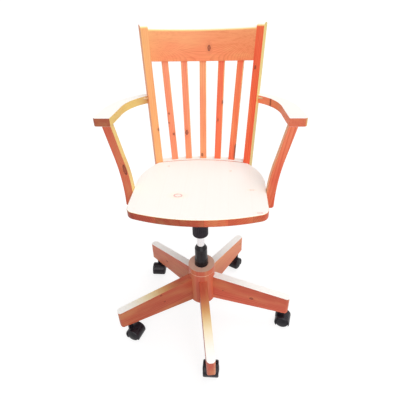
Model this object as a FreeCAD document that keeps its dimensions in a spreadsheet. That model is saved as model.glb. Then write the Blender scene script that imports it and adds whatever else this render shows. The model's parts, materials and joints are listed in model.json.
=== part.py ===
import FreeCAD, Part

# A wooden bankers swivel chair: a five-legged base on hooded twin-wheel casters, a gas lift,
# a flat shaped seat and a slatted back with arms.
# Millimetres, +Z up, the front of the chair towards -Y. The origin is the point on the floor
# under the column's axis, and the lift is almost fully raised.

import os
import re

import Sketcher
from FreeCAD import Vector

SIZES = (
    # the base
    ("hub_radius", 50, "turned wooden hub"),
    ("hub_bottom", 91.5, "height of the hub's underside"),
    ("hub_top", 264, "height of the hub's top"),
    ("hub_groove_drop", 24, "turned groove, below the hub's top"),
    ("hub_groove_half", 1.5, "half of the groove's width, and its depth"),
    ("leg_wide", 30, "thickness of a leg's board"),
    ("leg_housing", 12, "how deep a leg is let into the hub"),
    ("leg_reach", 344, "from the column's axis to a leg's tip"),
    ("leg_root_bottom", 95.5, "height of a leg's underside at the hub"),
    ("leg_root_top", 211.5, "height of a leg's top edge at the hub"),
    ("leg_tip_bottom", 71.5, "height of a leg's underside at its tip"),
    ("leg_tip_top", 148, "height of a leg's top edge at its tip"),
    ("leg_corner", 12, "rounding of the tip's upright corners"),
    ("leg_nose", 12, "rounding under the tip"),
    ("first_leg_turn", -81.5, "direction of leg 1, from +X"),
    ("liner_wall", 3.4, "plastic liner that holds the lift's tube in the hub"),
    ("fit_gap", 0.1, "play between pieces that are glued or pressed together"),
    ("dowel_radius", 4, "beech dowels of the whole chair"),
    ("leg_dowel_start", 29, "inner end of a leg's dowels, from the column's axis"),
    ("leg_dowel_long", 38, "length of a leg's dowels"),
    ("leg_dowel_low", 127, "height of the lower dowel"),
    ("leg_dowel_high", 181, "height of the upper dowel"),
    # the casters
    ("caster_inset", 36, "from a leg's tip back to its caster's stem"),
    ("caster_trail", 21, "from the stem's axis to the wheels' axle"),
    ("wheel_radius", 25, "rolling radius"),
    ("wheel_wide", 20, "width of one wheel"),
    ("wheel_edge", 3, "rounding of a wheel's inner edge"),
    ("wheel_shoulder", 6.5, "rounding of a wheel's outer edge"),
    ("wheel_dome", 62, "curve of a wheel's outer face"),
    ("wheel_side_gap", 1, "between a wheel and the hood's web"),
    ("wheel_well_gap", 0.9, "between a wheel and the hood over it"),
    ("web_thick", 12, "web between the two wheels"),
    ("hood_radius", 29.5, "outer radius of the hood"),
    ("hood_lip", 1, "how far the hood stands past the wheels, each side"),
    ("hood_edge", 5, "rounding of the hood's edges"),
    ("hood_back", 15, "how far the hood reaches below the axle's level, trailing side"),
    ("hood_front", 35, "how far the hood reaches below the axle's level, stem side"),
    ("neck_radius", 9.5, "neck that holds the stem"),
    ("neck_start", 30, "height where the neck leaves the hood's web"),
    ("stem_radius", 5.5, "steel stem"),
    ("stem_in_neck", 24, "length of stem pressed in the neck"),
    ("stem_in_leg", 28, "length of stem in its socket"),
    ("run_gap", 0.05, "radial play of what turns or slides"),
    ("axle_radius", 3, "wheel axle"),
    ("axle_in_wheel", 16, "how far the axle reaches into a wheel"),
    ("axle_end_gap", 0.5, "from the axle's end to the bottom of the wheel's bore"),
    ("socket_wall", 2, "steel socket in a leg"),
    ("socket_flange", 11.5, "radius of the socket's flange"),
    ("socket_flange_thick", 1.5, "thickness of the flange"),
    ("socket_seat", 76, "height of the flat that the flange sits against"),
    ("swivel_gap", 0.3, "between a caster's neck and the flange above it"),
    # the gas lift
    ("tube_radius", 23.1, "black tube above the hub"),
    ("tube_in_hub", 22.5, "the tube's radius inside the hub"),
    ("tube_bore", 21.05, "the tube's bore"),
    ("tube_bottom", 79, "height of the tube's lower end"),
    ("tube_floor", 6, "thickness of the tube's bottom"),
    ("tube_top", 343, "height of the tube's upper end"),
    ("foot_radius", 25.3, "swollen foot of the tube, on the hub"),
    ("foot_high", 27, "height of the foot"),
    ("foot_slope", 4, "height of the slope above the foot"),
    ("dimple_radius", 1.1, "two small holes in the tube's front"),
    ("dimple_drop", 13, "from the tube's top to the holes"),
    ("dimple_apart", 9, "distance between the holes"),
    ("bush_long", 66, "length of the guide bush inside the tube"),
    ("cap_high", 14, "height of the bush's cone above the tube"),
    ("cap_radius", 15.6, "radius of the cone's top"),
    ("lift_radius", 14, "chromed cylinder"),
    ("lift_bore", 11.5, "the cylinder's bore"),
    ("lift_bottom", 214, "height of the cylinder's lower end"),
    ("lift_floor", 12, "the cylinder's bottom, with its seal"),
    ("lift_head", 18, "the cylinder's solid head, with its valve"),
    ("rod_radius", 5, "piston rod"),
    ("rod_bottom", 73, "height of the rod's lower end"),
    ("piston_bottom", 254, "height of the piston's underside"),
    ("piston_high", 15, "height of the piston"),
    ("piston_gap", 0.05, "play of the piston in the cylinder"),
    ("bearing_radius", 13, "thrust bearing under the rod's collar"),
    ("bearing_high", 8, "height of the bearing"),
    ("collar_radius", 9, "the rod's collar"),
    ("collar_high", 4, "height of the collar"),
    ("clip_radius", 8.5, "clip under the tube's bottom"),
    ("clip_thick", 3.2, "thickness of the clip"),
    ("clip_groove", 1, "depth of the clip's groove in the rod"),
    ("clip_mouth", 5, "width of the clip's opening"),
    # under the seat
    ("plate_long", 200, "mounting plate, across the seat"),
    ("plate_deep", 170, "mounting plate, front to back"),
    ("plate_thick", 3, "thickness of plate and pan"),
    ("pan_long", 90, "pressed pan, across the seat"),
    ("pan_deep", 80, "pressed pan, front to back"),
    ("pan_drop", 28.4, "depth of the pan below the plate"),
    ("socket_tube_radius", 18, "steel tube that grips the cylinder"),
    ("socket_tube_bottom", 460, "height of that tube's lower end"),
    ("lift_above_pan", 2, "the cylinder's head above the pan's floor"),
    ("pin_radius", 3, "release pin"),
    ("pivot_radius", 2.5, "lever's pivot pin"),
    ("pin_in_head", 28, "length of the release pin inside the head"),
    ("pin_out", 6, "how far the release pin stands out"),
    ("lever_touch_gap", 0.3, "between the lever and the release pin"),
    ("lever_bar_wide", 16, "lever's flat bar"),
    ("lever_bar_thick", 9, "thickness of the flat bar"),
    ("lever_pivot_x", 30, "from the column's axis to the lever's pivot"),
    ("lever_tail", 8, "how far the bar reaches past the release pin"),
    ("lever_bar_end", 62, "outer end of the flat bar"),
    ("lever_rod_radius", 4, "lever's round handle"),
    ("lever_rod_long", 140, "length of the round handle"),
    ("lever_droop", 10, "how far the handle points down"),
    ("lever_slot_side", 3, "play of the bar in the pan's slot"),
    ("knob_long", 60, "plastic paddle on the handle"),
    ("knob_wide", 26, "width of the paddle"),
    ("knob_thick", 12, "thickness of the paddle"),
    ("knob_grip", 45, "length of the handle inside the paddle"),
    ("cover_radius", 28.5, "black cover round the lift"),
    ("cover_bore", 24.6, "bore of the cover"),
    ("cover_bottom", 407.5, "height of the cover's lower edge"),
    ("cover_top_gap", 1.5, "between the cover and the pan"),
    ("cover_roof", 8, "thickness of the cover's roof"),
    ("cover_lip", 3, "rounding of the cover's lower edge"),
    ("flute_radius", 1.4, "upright flutes in the cover"),
    ("flute_count", 24, "number of flutes"),
    # the seat
    ("seat_top", 589.4, "height of the seat's top face"),
    ("seat_thick", 28, "thickness of the seat panel"),
    ("seat_half", 223.5, "half of the seat's width"),
    ("seat_front", 155, "from the column's axis forward to the seat's front"),
    ("seat_front_radius", 630, "curve of the front edge"),
    ("seat_corner", 33, "rounding of the front corners"),
    ("seat_side_end", 50, "where the straight sides end"),
    ("seat_side_radius", 207, "curve of the rear sides"),
    ("seat_back_inset", 52.5, "from the seat's side in to the end of its back edge"),
    ("seat_back", 224, "from the column's axis back to the seat's back edge"),
    ("seat_back_radius", 586, "curve of the back edge"),
    ("seat_edge", 3, "rounding of the seat's upper and lower edges"),
    ("rail_deep", 31, "curved rail behind the seat"),
    ("rail_groove", 3, "shadow gap between seat and rail"),
    ("rail_groove_deep", 8, "depth of the shadow gap"),
    ("rail_gap", 0.3, "glue line between seat and rail"),
    # the back
    ("back_lean", 14.5, "how far the back leans"),
    ("back_foot_y", 238, "front of the middle slat's foot"),
    ("stile_wide", 26, "stile across its front"),
    ("stile_deep", 28, "stile front to back"),
    ("stile_inset", 58.5, "from the seat's side in to the middle of a stile's foot"),
    ("stile_spread", 32, "how far a stile splays outward from foot to top"),
    ("stile_ahead", 35, "how far a stile stands ahead of the middle slat"),
    ("stile_toe", 24, "how far a stile is turned inward"),
    ("stile_long", 473, "length of a stile above the seat"),
    ("stile_below", 34, "length of a stile below the seat's top"),
    ("stile_nose", 17, "rounding of a stile's front top edge"),
    ("stile_heel", 4, "rounding of a stile's rear top edge"),
    ("crest_bottom", 352, "crest rail's lower edge, along the back"),
    ("crest_top", 463.5, "crest rail's upper edge, along the back"),
    ("crest_thick", 22, "thickness of the crest rail"),
    ("crest_radius", 467, "curve of the crest rail's front"),
    ("crest_behind", 7, "how far the crest's middle lies behind the middle slat's foot"),
    ("crest_nose", 16, "rounding of the crest's front top edge"),
    ("crest_heel", 5, "rounding of the crest's rear top edge"),
    ("slat_wide", 24, "width of a slat"),
    ("slat_thick", 11, "thickness of a slat"),
    ("slat_tenon", 14, "length of a slat inside a rail"),
    ("inner_slat_foot", 55, "foot of the slats beside the middle one"),
    ("inner_slat_top", 67, "top of the slats beside the middle one"),
    ("inner_slat_toe", 6.5, "turn of the slats beside the middle one"),
    ("outer_slat_foot", 108, "foot of the outer slats"),
    ("outer_slat_top", 134, "top of the outer slats"),
    ("outer_slat_toe", 12.5, "turn of the outer slats"),
    ("slat_set_back", 5.5, "from the crest's front back to a slat's front"),
    ("slat_foot_radius", 640, "curve that the slats' feet stand on"),
    # the arms
    ("arm_top", 825, "height of the arms' top"),
    ("arm_thick", 27, "thickness of an arm"),
    ("arm_front_y", 53, "front end of an arm"),
    ("arm_front_inner", 56.5, "from the seat's side out to the front end's inner corner"),
    ("arm_front_outer", 112.5, "from the seat's side out to the front end's outer corner"),
    ("arm_corner", 11, "rounding of the outer front corner"),
    ("arm_bend_y", 142, "where the arm starts to bend inward"),
    ("arm_bend_inner", 46.5, "from the seat's side out to the inner edge at the bend"),
    ("arm_bend_outer", 101.5, "from the seat's side out to the outer edge at the bend"),
    ("arm_inner_radius", 157, "curve of the inner edge"),
    ("arm_outer_radius", 207, "curve of the outer edge"),
    ("arm_end_inset", 53.5, "from the seat's side in to the end of the arm's board"),
    ("arm_end_inner_y", 284, "inner edge at the board's end"),
    ("arm_end_outer_y", 308, "outer edge at the board's end"),
    # the posts
    ("post_lean", 15.5, "how far a post leans back"),
    ("post_deep", 35, "post front to back"),
    ("post_front_y", 52, "front of a post, under the arm"),
    ("post_top_inner", 56, "from the seat's side out to the inner edge under the arm"),
    ("post_top_outer", 84.5, "from the seat's side out to the outer edge under the arm"),
    ("post_bend_drop", 99, "from the arm's underside to the bend"),
    ("post_bend_inner", 25, "from the seat's side out to the inner edge at the bend"),
    ("post_bend_outer", 52, "from the seat's side out to the outer edge at the bend"),
    ("post_inner_radius", 500, "curve of the inner edge"),
    ("post_outer_radius", 640, "curve of the outer edge"),
    ("post_foot_outer", 24.5, "from the seat's side out to the outer edge at the foot"),
    ("post_foot_drop", 20, "from the seat's underside to the foot"),
    ("post_foot_corner", 9, "rounding of the foot's outer corner"),
    # the fasteners
    ("frame_dowel_long", 36, "dowels in the arms and the crest"),
    ("post_dowel_apart", 16, "distance between a post's two dowels"),
    ("crest_dowel_low", 375, "crest's lower dowels, along the back"),
    ("crest_dowel_high", 430, "crest's upper dowels, along the back"),
    ("screw_radius", 2.5, "wood screws"),
    ("screw_head", 5, "radius of a screw's head"),
    ("screw_head_high", 3.2, "height of a screw's head"),
    ("plate_screw_long", 19, "screws that hold the plate to the seat"),
    ("plate_screw_x", 80, "plate screws, across the seat"),
    ("plate_screw_y", 65, "plate screws, front to back"),
    ("rail_screw_long", 52, "screws that hold the rail to the seat"),
    ("rail_screw_turn", 5.3, "angle between the rail's screws"),
    ("post_bolt_long", 62, "bolts that hold the posts to the seat"),
    ("post_bolt_apart", 18, "distance between a post's two bolts"),
)
ALIASES = [alias for alias, value, meaning in SIZES]
LEGS = 5
SIDES = (("left", -1), ("right", 1))

SEAT_UNDER = "(seat_top - seat_thick)"
PLATE_UNDER = f"({SEAT_UNDER} - plate_thick)"
PAN_BOTTOM = f"({PLATE_UNDER} - pan_drop)"
PAN_FLOOR = f"({PAN_BOTTOM} + plate_thick)"
LIFT_TOP = f"({PAN_FLOOR} + lift_above_pan)"
LEVER_UNDER = f"({LIFT_TOP} + pin_out + lever_touch_gap)"
LEVER_MIDDLE = f"({LEVER_UNDER} + lever_bar_thick / 2)"
SEAT_BACK_HALF = "(seat_half - seat_back_inset)"
STILE_FOOT = "(seat_half - stile_inset)"
STILE_TOP = f"({STILE_FOOT} + stile_spread)"
ARM_UNDER = "(arm_top - arm_thick)"
ARM_FRONT = "(seat_half + arm_front_outer)"
LINER_BORE = "(tube_in_hub + fit_gap)"
LINER_RADIUS = f"({LINER_BORE} + liner_wall)"
CASTER_REACH = "(leg_reach - caster_inset)"
FLANGE_BOTTOM = "(socket_seat - socket_flange_thick)"
HOOD_HALF = "(web_thick / 2 + wheel_side_gap + wheel_wide + hood_lip)"

doc = FreeCAD.newDocument("bankers_swivel_chair")
sheet = doc.addObject("Spreadsheet::Sheet", "Sizes")
for row, (alias, value, meaning) in enumerate(SIZES, start=1):
    sheet.set(f"A{row}", alias)
    sheet.set(f"B{row}", str(value))
    sheet.setAlias(f"B{row}", alias)
    sheet.set(f"C{row}", meaning)
doc.recompute()

pieces = {}


def tied(text):
    """Puts the sheet's name in front of every size in an expression."""
    return re.sub("[a-z_]+", lambda word: ("Sizes." if word[0] in ALIASES else "") + word[0], str(text))


def size(text):
    """The value that an expression has now."""
    value = sheet.evalExpression(tied(text))
    return float(getattr(value, "Value", value))


def bind(thing, **sizes):
    for name, text in sizes.items():
        thing.setExpression(name, tied(text))


def at(x=0, y=0, z=0, axis="0; 0; 1", turn=0):
    """A place as an expression: a turn about an axis, then a move."""
    return f"placement(vector({x}; {y}; {z}); rotation(vector({axis}); {turn}))"


def keep(thing, node):
    """Names a finished piece. Its label is the name of its file."""
    thing.Label = node
    pieces[node] = thing
    return thing


# Part primitives and booleans


def solid(kind, name, place=None, **sizes):
    thing = doc.addObject("Part::" + kind, name)
    bind(thing, **sizes)
    if place:
        bind(thing, Placement=place)
    return thing


def group(kind, name, things):
    thing = doc.addObject("Part::" + kind, name)
    setattr(thing, "Links" if kind == "Compound" else "Shapes", things)
    return thing


def cut(name, base, tools):
    thing = doc.addObject("Part::Cut", name)
    thing.Base = base
    thing.Tool = tools[0] if len(tools) == 1 else group("MultiFuse", name + "_tools", tools)
    return thing


# PartDesign bodies


def body(name, place=None):
    thing = doc.addObject("PartDesign::Body", name)
    if place:
        bind(thing, Placement=place)
    return thing


def pin_point(sketch, geometry, end, x, y):
    """Ties one end of an edge, or a circle's centre, to its place in the sketch."""
    for kind, axis, text in (("DistanceX", -2, x), ("DistanceY", -1, y)):
        if str(text) == "0":
            sketch.addConstraint(Sketcher.Constraint("PointOnObject", geometry, end, axis))
        else:
            number = sketch.addConstraint(Sketcher.Constraint(kind, -1, 1, geometry, end, size(text)))
            bind(sketch, **{f"Constraints[{number}]": text})


def pin_radius(sketch, geometry, text):
    number = sketch.addConstraint(Sketcher.Constraint("Radius", geometry, size(text)))
    bind(sketch, **{f"Constraints[{number}]": text})


def draw_loop(sketch, corners):
    """Draws a closed outline. A corner is (x, y), or (x, y, radius, side) if the edge that leaves it
    is an arc with its centre on that side: 1 is left of the way to the next corner, -1 right."""
    spots = [Vector(size(corner[0]), size(corner[1]), 0) for corner in corners]
    starts, ends = [], []
    for here, corner in enumerate(corners):
        first, last = spots[here], spots[(here + 1) % len(corners)]
        if len(corner) == 2:
            geometry = sketch.addGeometry(Part.LineSegment(first, last), False)
            starts.append((geometry, 1))
            ends.append((geometry, 2))
            continue
        radius, side = size(corner[2]), corner[3]
        chord = last - first
        rise = (radius ** 2 - (chord.Length / 2) ** 2) ** 0.5
        left = Vector(-chord.y, chord.x, 0).normalize()
        centre = (first + last) / 2 + left * rise * side
        apex = centre - left * radius * side
        way = (first, apex, last) if side > 0 else (last, apex, first)
        geometry = sketch.addGeometry(Part.Arc(*way), False)
        starts.append((geometry, 1 if side > 0 else 2))
        ends.append((geometry, 2 if side > 0 else 1))
        pin_radius(sketch, geometry, corner[2])
    for here, corner in enumerate(corners):
        sketch.addConstraint(Sketcher.Constraint("Coincident", *ends[here - 1], *starts[here]))
        pin_point(sketch, *starts[here], corner[0], corner[1])


def sketch_on(of, name, role, loops=(), circles=(), offset=None):
    """A sketch on one of the body's own planes, with closed outlines and circles (x, y, radius)."""
    sketch = of.newObject("Sketcher::SketchObject", name)
    plane = next(face for face in of.Origin.OriginFeatures if face.Role == role)
    sketch.AttachmentSupport = [(plane, "")]
    sketch.MapMode = "FlatFace"
    if offset:
        bind(sketch, AttachmentOffset=at(z=offset))
    for corners in loops:
        draw_loop(sketch, corners)
    for x, y, radius in circles:
        ring = Part.Circle(Vector(size(x), size(y), 0), Vector(0, 0, 1), size(radius))
        geometry = sketch.addGeometry(ring, False)
        pin_radius(sketch, geometry, radius)
        pin_point(sketch, geometry, 3, x, y)
    return sketch


def box_loop(x_from, x_to, y_from, y_to):
    return [(x_from, y_from), (x_to, y_from), (x_to, y_to), (x_from, y_to)]


def pad(of, name, sketch, length, side="One side", reverse=False):
    feature = of.newObject("PartDesign::Pad", name)
    feature.Profile = sketch
    feature.SideType = side
    feature.Reversed = reverse
    bind(feature, Length=length)
    return feature


def pocket(of, name, sketch, length=None, side="One side", reverse=False):
    """A pocket of the given depth, or right through if it has none."""
    feature = of.newObject("PartDesign::Pocket", name)
    feature.Profile = sketch
    feature.SideType = side
    feature.Reversed = reverse
    if length:
        bind(feature, Length=length)
    else:
        feature.Type = "ThroughAll"
    return feature


def turned(name, corners, place=None, angle=None):
    """A turned piece: the outline is in radius and height, and turns about the body's Z axis."""
    of = body(name, place)
    outline = sketch_on(of, name + "_outline", "YZ_Plane", [corners])
    feature = of.newObject("PartDesign::Revolution", name + "_turning")
    feature.Profile = outline
    feature.ReferenceAxis = (outline, ["V_Axis"])
    if angle:
        feature.Midplane = True
        bind(feature, Angle=angle)
    return of


def round_edges(of, name, base, radius, chosen):
    """Rounds the base feature's edges that the test chooses."""
    doc.recompute()
    feature = of.newObject("PartDesign::Fillet", name)
    edges = [f"Edge{n}" for n, edge in enumerate(base.Shape.Edges, start=1) if chosen(edge)]
    feature.Base = (base, edges)
    bind(feature, Radius=radius)
    return feature


def upright(edge):
    box = edge.BoundBox
    return box.ZLength > 1 and box.XLength < 0.01 and box.YLength < 0.01


# The base


def leg_place(number):
    return at(turn=f"first_leg_turn + {number} * 360 / {LEGS}")


def make_hub():
    groove = "(hub_top - hub_groove_drop)"
    hub = turned("hub", [
        (f"{LINER_RADIUS} + fit_gap", "hub_bottom"), ("hub_radius", "hub_bottom"),
        ("hub_radius", f"{groove} - hub_groove_half"), ("hub_radius - hub_groove_half", groove),
        ("hub_radius", f"{groove} + hub_groove_half"), ("hub_radius", "hub_top"),
        (f"{LINER_RADIUS} + fit_gap", "hub_top")])
    housings = [
        solid("Box", f"housing_{number + 1}",
              leg_place(number) + " * " + at("hub_radius - leg_housing", "-leg_wide / 2", "leg_root_bottom"),
              Length="leg_housing + leg_wide", Width="leg_wide", Height="leg_root_top - leg_root_bottom")
        for number in range(LEGS)]
    keep(cut("hub_housed", hub, housings + leg_dowels("leg_dowel_hole_in_hub", "fit_gap")), "hub")
    keep(turned("hub_liner_body", box_loop(LINER_BORE, LINER_RADIUS, "hub_bottom", "hub_top")), "hub_liner")


def leg_dowels(name, extra="0"):
    """The dowels of all legs, or with an extra radius the holes for them."""
    return [
        solid("Cylinder", f"{name}_{number + 1}_{level}",
              leg_place(number) + " * " + at(f"leg_dowel_start - {extra}", 0, level, "0; 1; 0", 90),
              Radius=f"dowel_radius + {extra}", Height=f"leg_dowel_long + 2 * {extra}")
        for number in range(LEGS) for level in ("leg_dowel_low", "leg_dowel_high")]


def make_leg(number):
    name = f"leg_{number + 1}"
    leg = body(name + "_body", leg_place(number))
    root = "(hub_radius - leg_housing)"
    side = sketch_on(leg, name + "_side", "XZ_Plane", [[
        (root, "leg_root_bottom"), ("hub_radius", "leg_root_bottom"),
        ("leg_reach - leg_nose", "leg_tip_bottom", "leg_nose", 1), ("leg_reach", "leg_tip_bottom + leg_nose"),
        ("leg_reach", "leg_tip_top"), ("hub_radius", "leg_root_top"), (root, "leg_root_top")]])
    pad(leg, name + "_board", side, "leg_wide", "Symmetric")
    half, past = "leg_wide / 2", "(leg_reach + leg_wide)"
    tip = sketch_on(leg, name + "_tip", "XY_Plane", [[
        ("leg_reach - leg_corner", "-" + half, "leg_corner", 1), ("leg_reach", f"leg_corner - {half}"),
        ("leg_reach", f"{half} - leg_corner", "leg_corner", 1), ("leg_reach - leg_corner", half),
        ("leg_reach - leg_corner", "leg_wide"), (past, "leg_wide"),
        (past, "-leg_wide"), ("leg_reach - leg_corner", "-leg_wide")]])
    pocket(leg, name + "_tip_rounding", tip, side="Symmetric")
    seat = solid("Cylinder", name + "_socket_seat", leg_place(number) + " * " + at(CASTER_REACH),
                 Radius="socket_flange + fit_gap", Height="socket_seat")
    bore = solid("Cylinder", name + "_socket_bore", leg_place(number) + " * " + at(CASTER_REACH),
                 Radius="stem_radius + run_gap + socket_wall + fit_gap",
                 Height="socket_seat + stem_in_leg + socket_wall")
    dowels = leg_dowels(name + "_dowel_hole", "fit_gap")
    dowels = [hole for hole in dowels if f"hole_{number + 1}_" in hole.Name]
    keep(cut(name + "_bored", leg, [seat, bore] + dowels), name)


def make_sockets():
    bore, wall = "(stem_radius + run_gap)", "(stem_radius + run_gap + socket_wall)"
    sockets = [
        turned(f"socket_{number + 1}", [
            (bore, FLANGE_BOTTOM), ("socket_flange", FLANGE_BOTTOM), ("socket_flange", "socket_seat"),
            (wall, "socket_seat"), (wall, "socket_seat + stem_in_leg"), (bore, "socket_seat + stem_in_leg")],
            leg_place(number) + " * " + at(CASTER_REACH))
        for number in range(LEGS)]
    keep(group("Compound", "sockets", sockets), "caster_sockets")


# The casters: each is drawn with its stem on Z and its wheels trailing towards +X

SWIVELS = (90, -15, -120, -90, -19)


def make_caster(number):
    name = f"caster_{number + 1}"
    swivel = " * ".join((leg_place(number), at(CASTER_REACH),
                         at(turn=f"{SWIVELS[number]} - (first_leg_turn + {number} * 360 / {LEGS})")))
    make_hood(name, swivel)
    make_stem_and_axle(name, swivel)
    for side, sign in SIDES:
        make_wheel(name, side, sign, swivel)


def make_hood(name, swivel):
    hood = body(name + "_hood_body", swivel)
    side = sketch_on(hood, name + "_hood_side", "XZ_Plane", [[
        ("caster_trail + hood_radius * cos(hood_back)", "wheel_radius - hood_radius * sin(hood_back)",
         "hood_radius", 1),
        ("caster_trail", "wheel_radius + hood_radius", "hood_radius", 1),
        ("caster_trail - hood_radius * cos(hood_front)", "wheel_radius - hood_radius * sin(hood_front)")]])
    shell = pad(hood, name + "_hood_shell", side, f"2 * {HOOD_HALF}", "Symmetric")
    outer = size(HOOD_HALF) - 0.01
    round_edges(hood, name + "_hood_edges", shell, "hood_edge",
                lambda edge: edge.Curve.TypeId == "Part::GeomCircle" and abs(edge.BoundBox.Center.y) > outer)
    neck = sketch_on(hood, name + "_neck_ring", "XY_Plane", circles=[("0", "0", "neck_radius")],
                     offset="neck_start")
    pad(hood, name + "_neck", neck, f"{FLANGE_BOTTOM} - swivel_gap - neck_start")
    axle = ("caster_trail", "wheel_radius")
    for face, reverse in (("-web_thick / 2", True), ("web_thick / 2", False)):
        well = sketch_on(hood, name + "_well_ring", "XZ_Plane",
                         circles=[(*axle, "wheel_radius + wheel_well_gap")], offset=face)
        pocket(hood, name + "_well", well, HOOD_HALF, reverse=not reverse)
    hole = sketch_on(hood, name + "_axle_ring", "XZ_Plane",
                     circles=[(*axle, "axle_radius + fit_gap / 2")])
    pocket(hood, name + "_axle_hole", hole, side="Symmetric")
    stem = sketch_on(hood, name + "_stem_ring", "XY_Plane", circles=[("0", "0", "stem_radius + fit_gap / 2")],
                     offset=FLANGE_BOTTOM)
    pocket(hood, name + "_stem_hole", stem, "stem_in_neck")
    keep(hood, name + "_hood")


def make_stem_and_axle(name, swivel):
    stem = solid("Cylinder", name + "_stem", f"{swivel} * {at(z=f'{FLANGE_BOTTOM} - stem_in_neck')}",
                 Radius="stem_radius", Height="stem_in_neck + stem_in_leg")
    half = "(web_thick / 2 + wheel_side_gap + axle_in_wheel)"
    across = at("caster_trail", half, "wheel_radius", "1; 0; 0", 90)
    axle = solid("Cylinder", name + "_axle", f"{swivel} * {across}", Radius="axle_radius",
                 Height=f"2 * {half}")
    keep(group("Compound", name + "_pins", [stem, axle]), name + "_stem_and_axle")


def make_wheel(name, side, sign, swivel):
    """A wheel is turned about its own Z axis, with its outer face at the top."""
    place = at("caster_trail", f"{sign} * (web_thick / 2 + wheel_side_gap)", "wheel_radius",
               "1; 0; 0", -90 * sign)
    face = "(wheel_radius - wheel_shoulder)"
    crown = f"wheel_wide + wheel_dome - sqrt(wheel_dome ^ 2 - {face} ^ 2)"
    wheel = turned(f"{name}_wheel_{side}_body", [
        ("axle_radius + run_gap", "0"), ("wheel_radius - wheel_edge", "0", "wheel_edge", 1),
        ("wheel_radius", "wheel_edge"), ("wheel_radius", "wheel_wide - wheel_shoulder", "wheel_shoulder", 1),
        (face, "wheel_wide", "wheel_dome", 1), ("0", crown),
        ("0", "axle_in_wheel + axle_end_gap"), ("axle_radius + run_gap", "axle_in_wheel + axle_end_gap")],
        f"{swivel} * {place}")
    keep(wheel, f"{name}_wheel_{side}")


# The gas lift


def make_lift():
    foot_top = "(hub_top + foot_high)"
    tube = turned("lift_tube", [
        ("rod_radius + run_gap", "tube_bottom"), ("tube_in_hub", "tube_bottom"), ("tube_in_hub", "hub_top"),
        ("foot_radius", "hub_top"), ("foot_radius", foot_top), ("tube_radius", f"{foot_top} + foot_slope"),
        ("tube_radius", "tube_top"), ("tube_bore", "tube_top"), ("tube_bore", "tube_bottom + tube_floor"),
        ("rod_radius + run_gap", "tube_bottom + tube_floor")])
    holes = sketch_on(tube, "dimples", "XZ_Plane", circles=[
        (f"{side} * dimple_apart / 2", "tube_top - dimple_drop", "dimple_radius") for side in (-1, 1)])
    pocket(tube, "dimple_holes", holes, "tube_radius", reverse=True)
    keep(tube, "lift_outer_tube")
    bush_radius, bush_bore = "(tube_bore - fit_gap / 2)", "(lift_radius + run_gap)"
    keep(turned("bush", [
        (bush_bore, "tube_top - bush_long"), (bush_radius, "tube_top - bush_long"), (bush_radius, "tube_top"),
        ("tube_radius", "tube_top"), ("cap_radius", "tube_top + cap_high"),
        (bush_bore, "tube_top + cap_high")]),
        "lift_guide_bush")
    floor = "(tube_bottom + tube_floor)"
    bearing = box_loop("rod_radius + 2 * fit_gap", "bearing_radius", floor, f"{floor} + bearing_high")
    keep(turned("bearing", bearing), "thrust_bearing")
    make_rod(f"({floor} + bearing_high)")
    keep(turned("cylinder", [
        ("rod_radius + run_gap", "lift_bottom"), ("lift_radius", "lift_bottom"), ("lift_radius", LIFT_TOP),
        ("pin_radius + run_gap", LIFT_TOP), ("pin_radius + run_gap", f"{LIFT_TOP} - lift_head"),
        ("lift_bore", f"{LIFT_TOP} - lift_head"), ("lift_bore", "lift_bottom + lift_floor"),
        ("rod_radius + run_gap", "lift_bottom + lift_floor")]), "lift_cylinder")
    pin = solid("Cylinder", "pin", at(z=f"{LIFT_TOP} - pin_in_head"), Radius="pin_radius",
                Height="pin_in_head + pin_out")
    keep(pin, "release_pin")


def make_rod(collar_bottom):
    """The rod turns in the tube's bottom on its thrust bearing and is held from below by a clip."""
    groove_top, groove = "(tube_bottom - fit_gap)", "(rod_radius - clip_groove)"
    piston_top, piston = "(piston_bottom + piston_high)", "(lift_bore - piston_gap)"
    groove_bottom = f"{groove_top} - clip_thick - fit_gap"
    keep(turned("rod", [
        ("0", "rod_bottom"), ("rod_radius", "rod_bottom"), ("rod_radius", groove_bottom),
        (groove, groove_bottom), (groove, groove_top), ("rod_radius", groove_top),
        ("rod_radius", collar_bottom), ("collar_radius", collar_bottom),
        ("collar_radius", f"{collar_bottom} + collar_high"), ("rod_radius", f"{collar_bottom} + collar_high"),
        ("rod_radius", "piston_bottom"), (piston, "piston_bottom"), (piston, piston_top), ("0", piston_top)]),
        "piston_rod")
    clip_bottom = f"({groove_top} - clip_thick)"
    ring = turned("clip_ring", box_loop(f"{groove} + fit_gap / 2", "clip_radius", clip_bottom, groove_top))
    mouth = solid("Box", "clip_opening", at(0, "-clip_mouth / 2", clip_bottom),
                  Length="clip_radius + clip_mouth", Width="clip_mouth", Height="clip_thick")
    keep(cut("clip", ring, [mouth]), "piston_rod_clip")


# Under the seat


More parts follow.
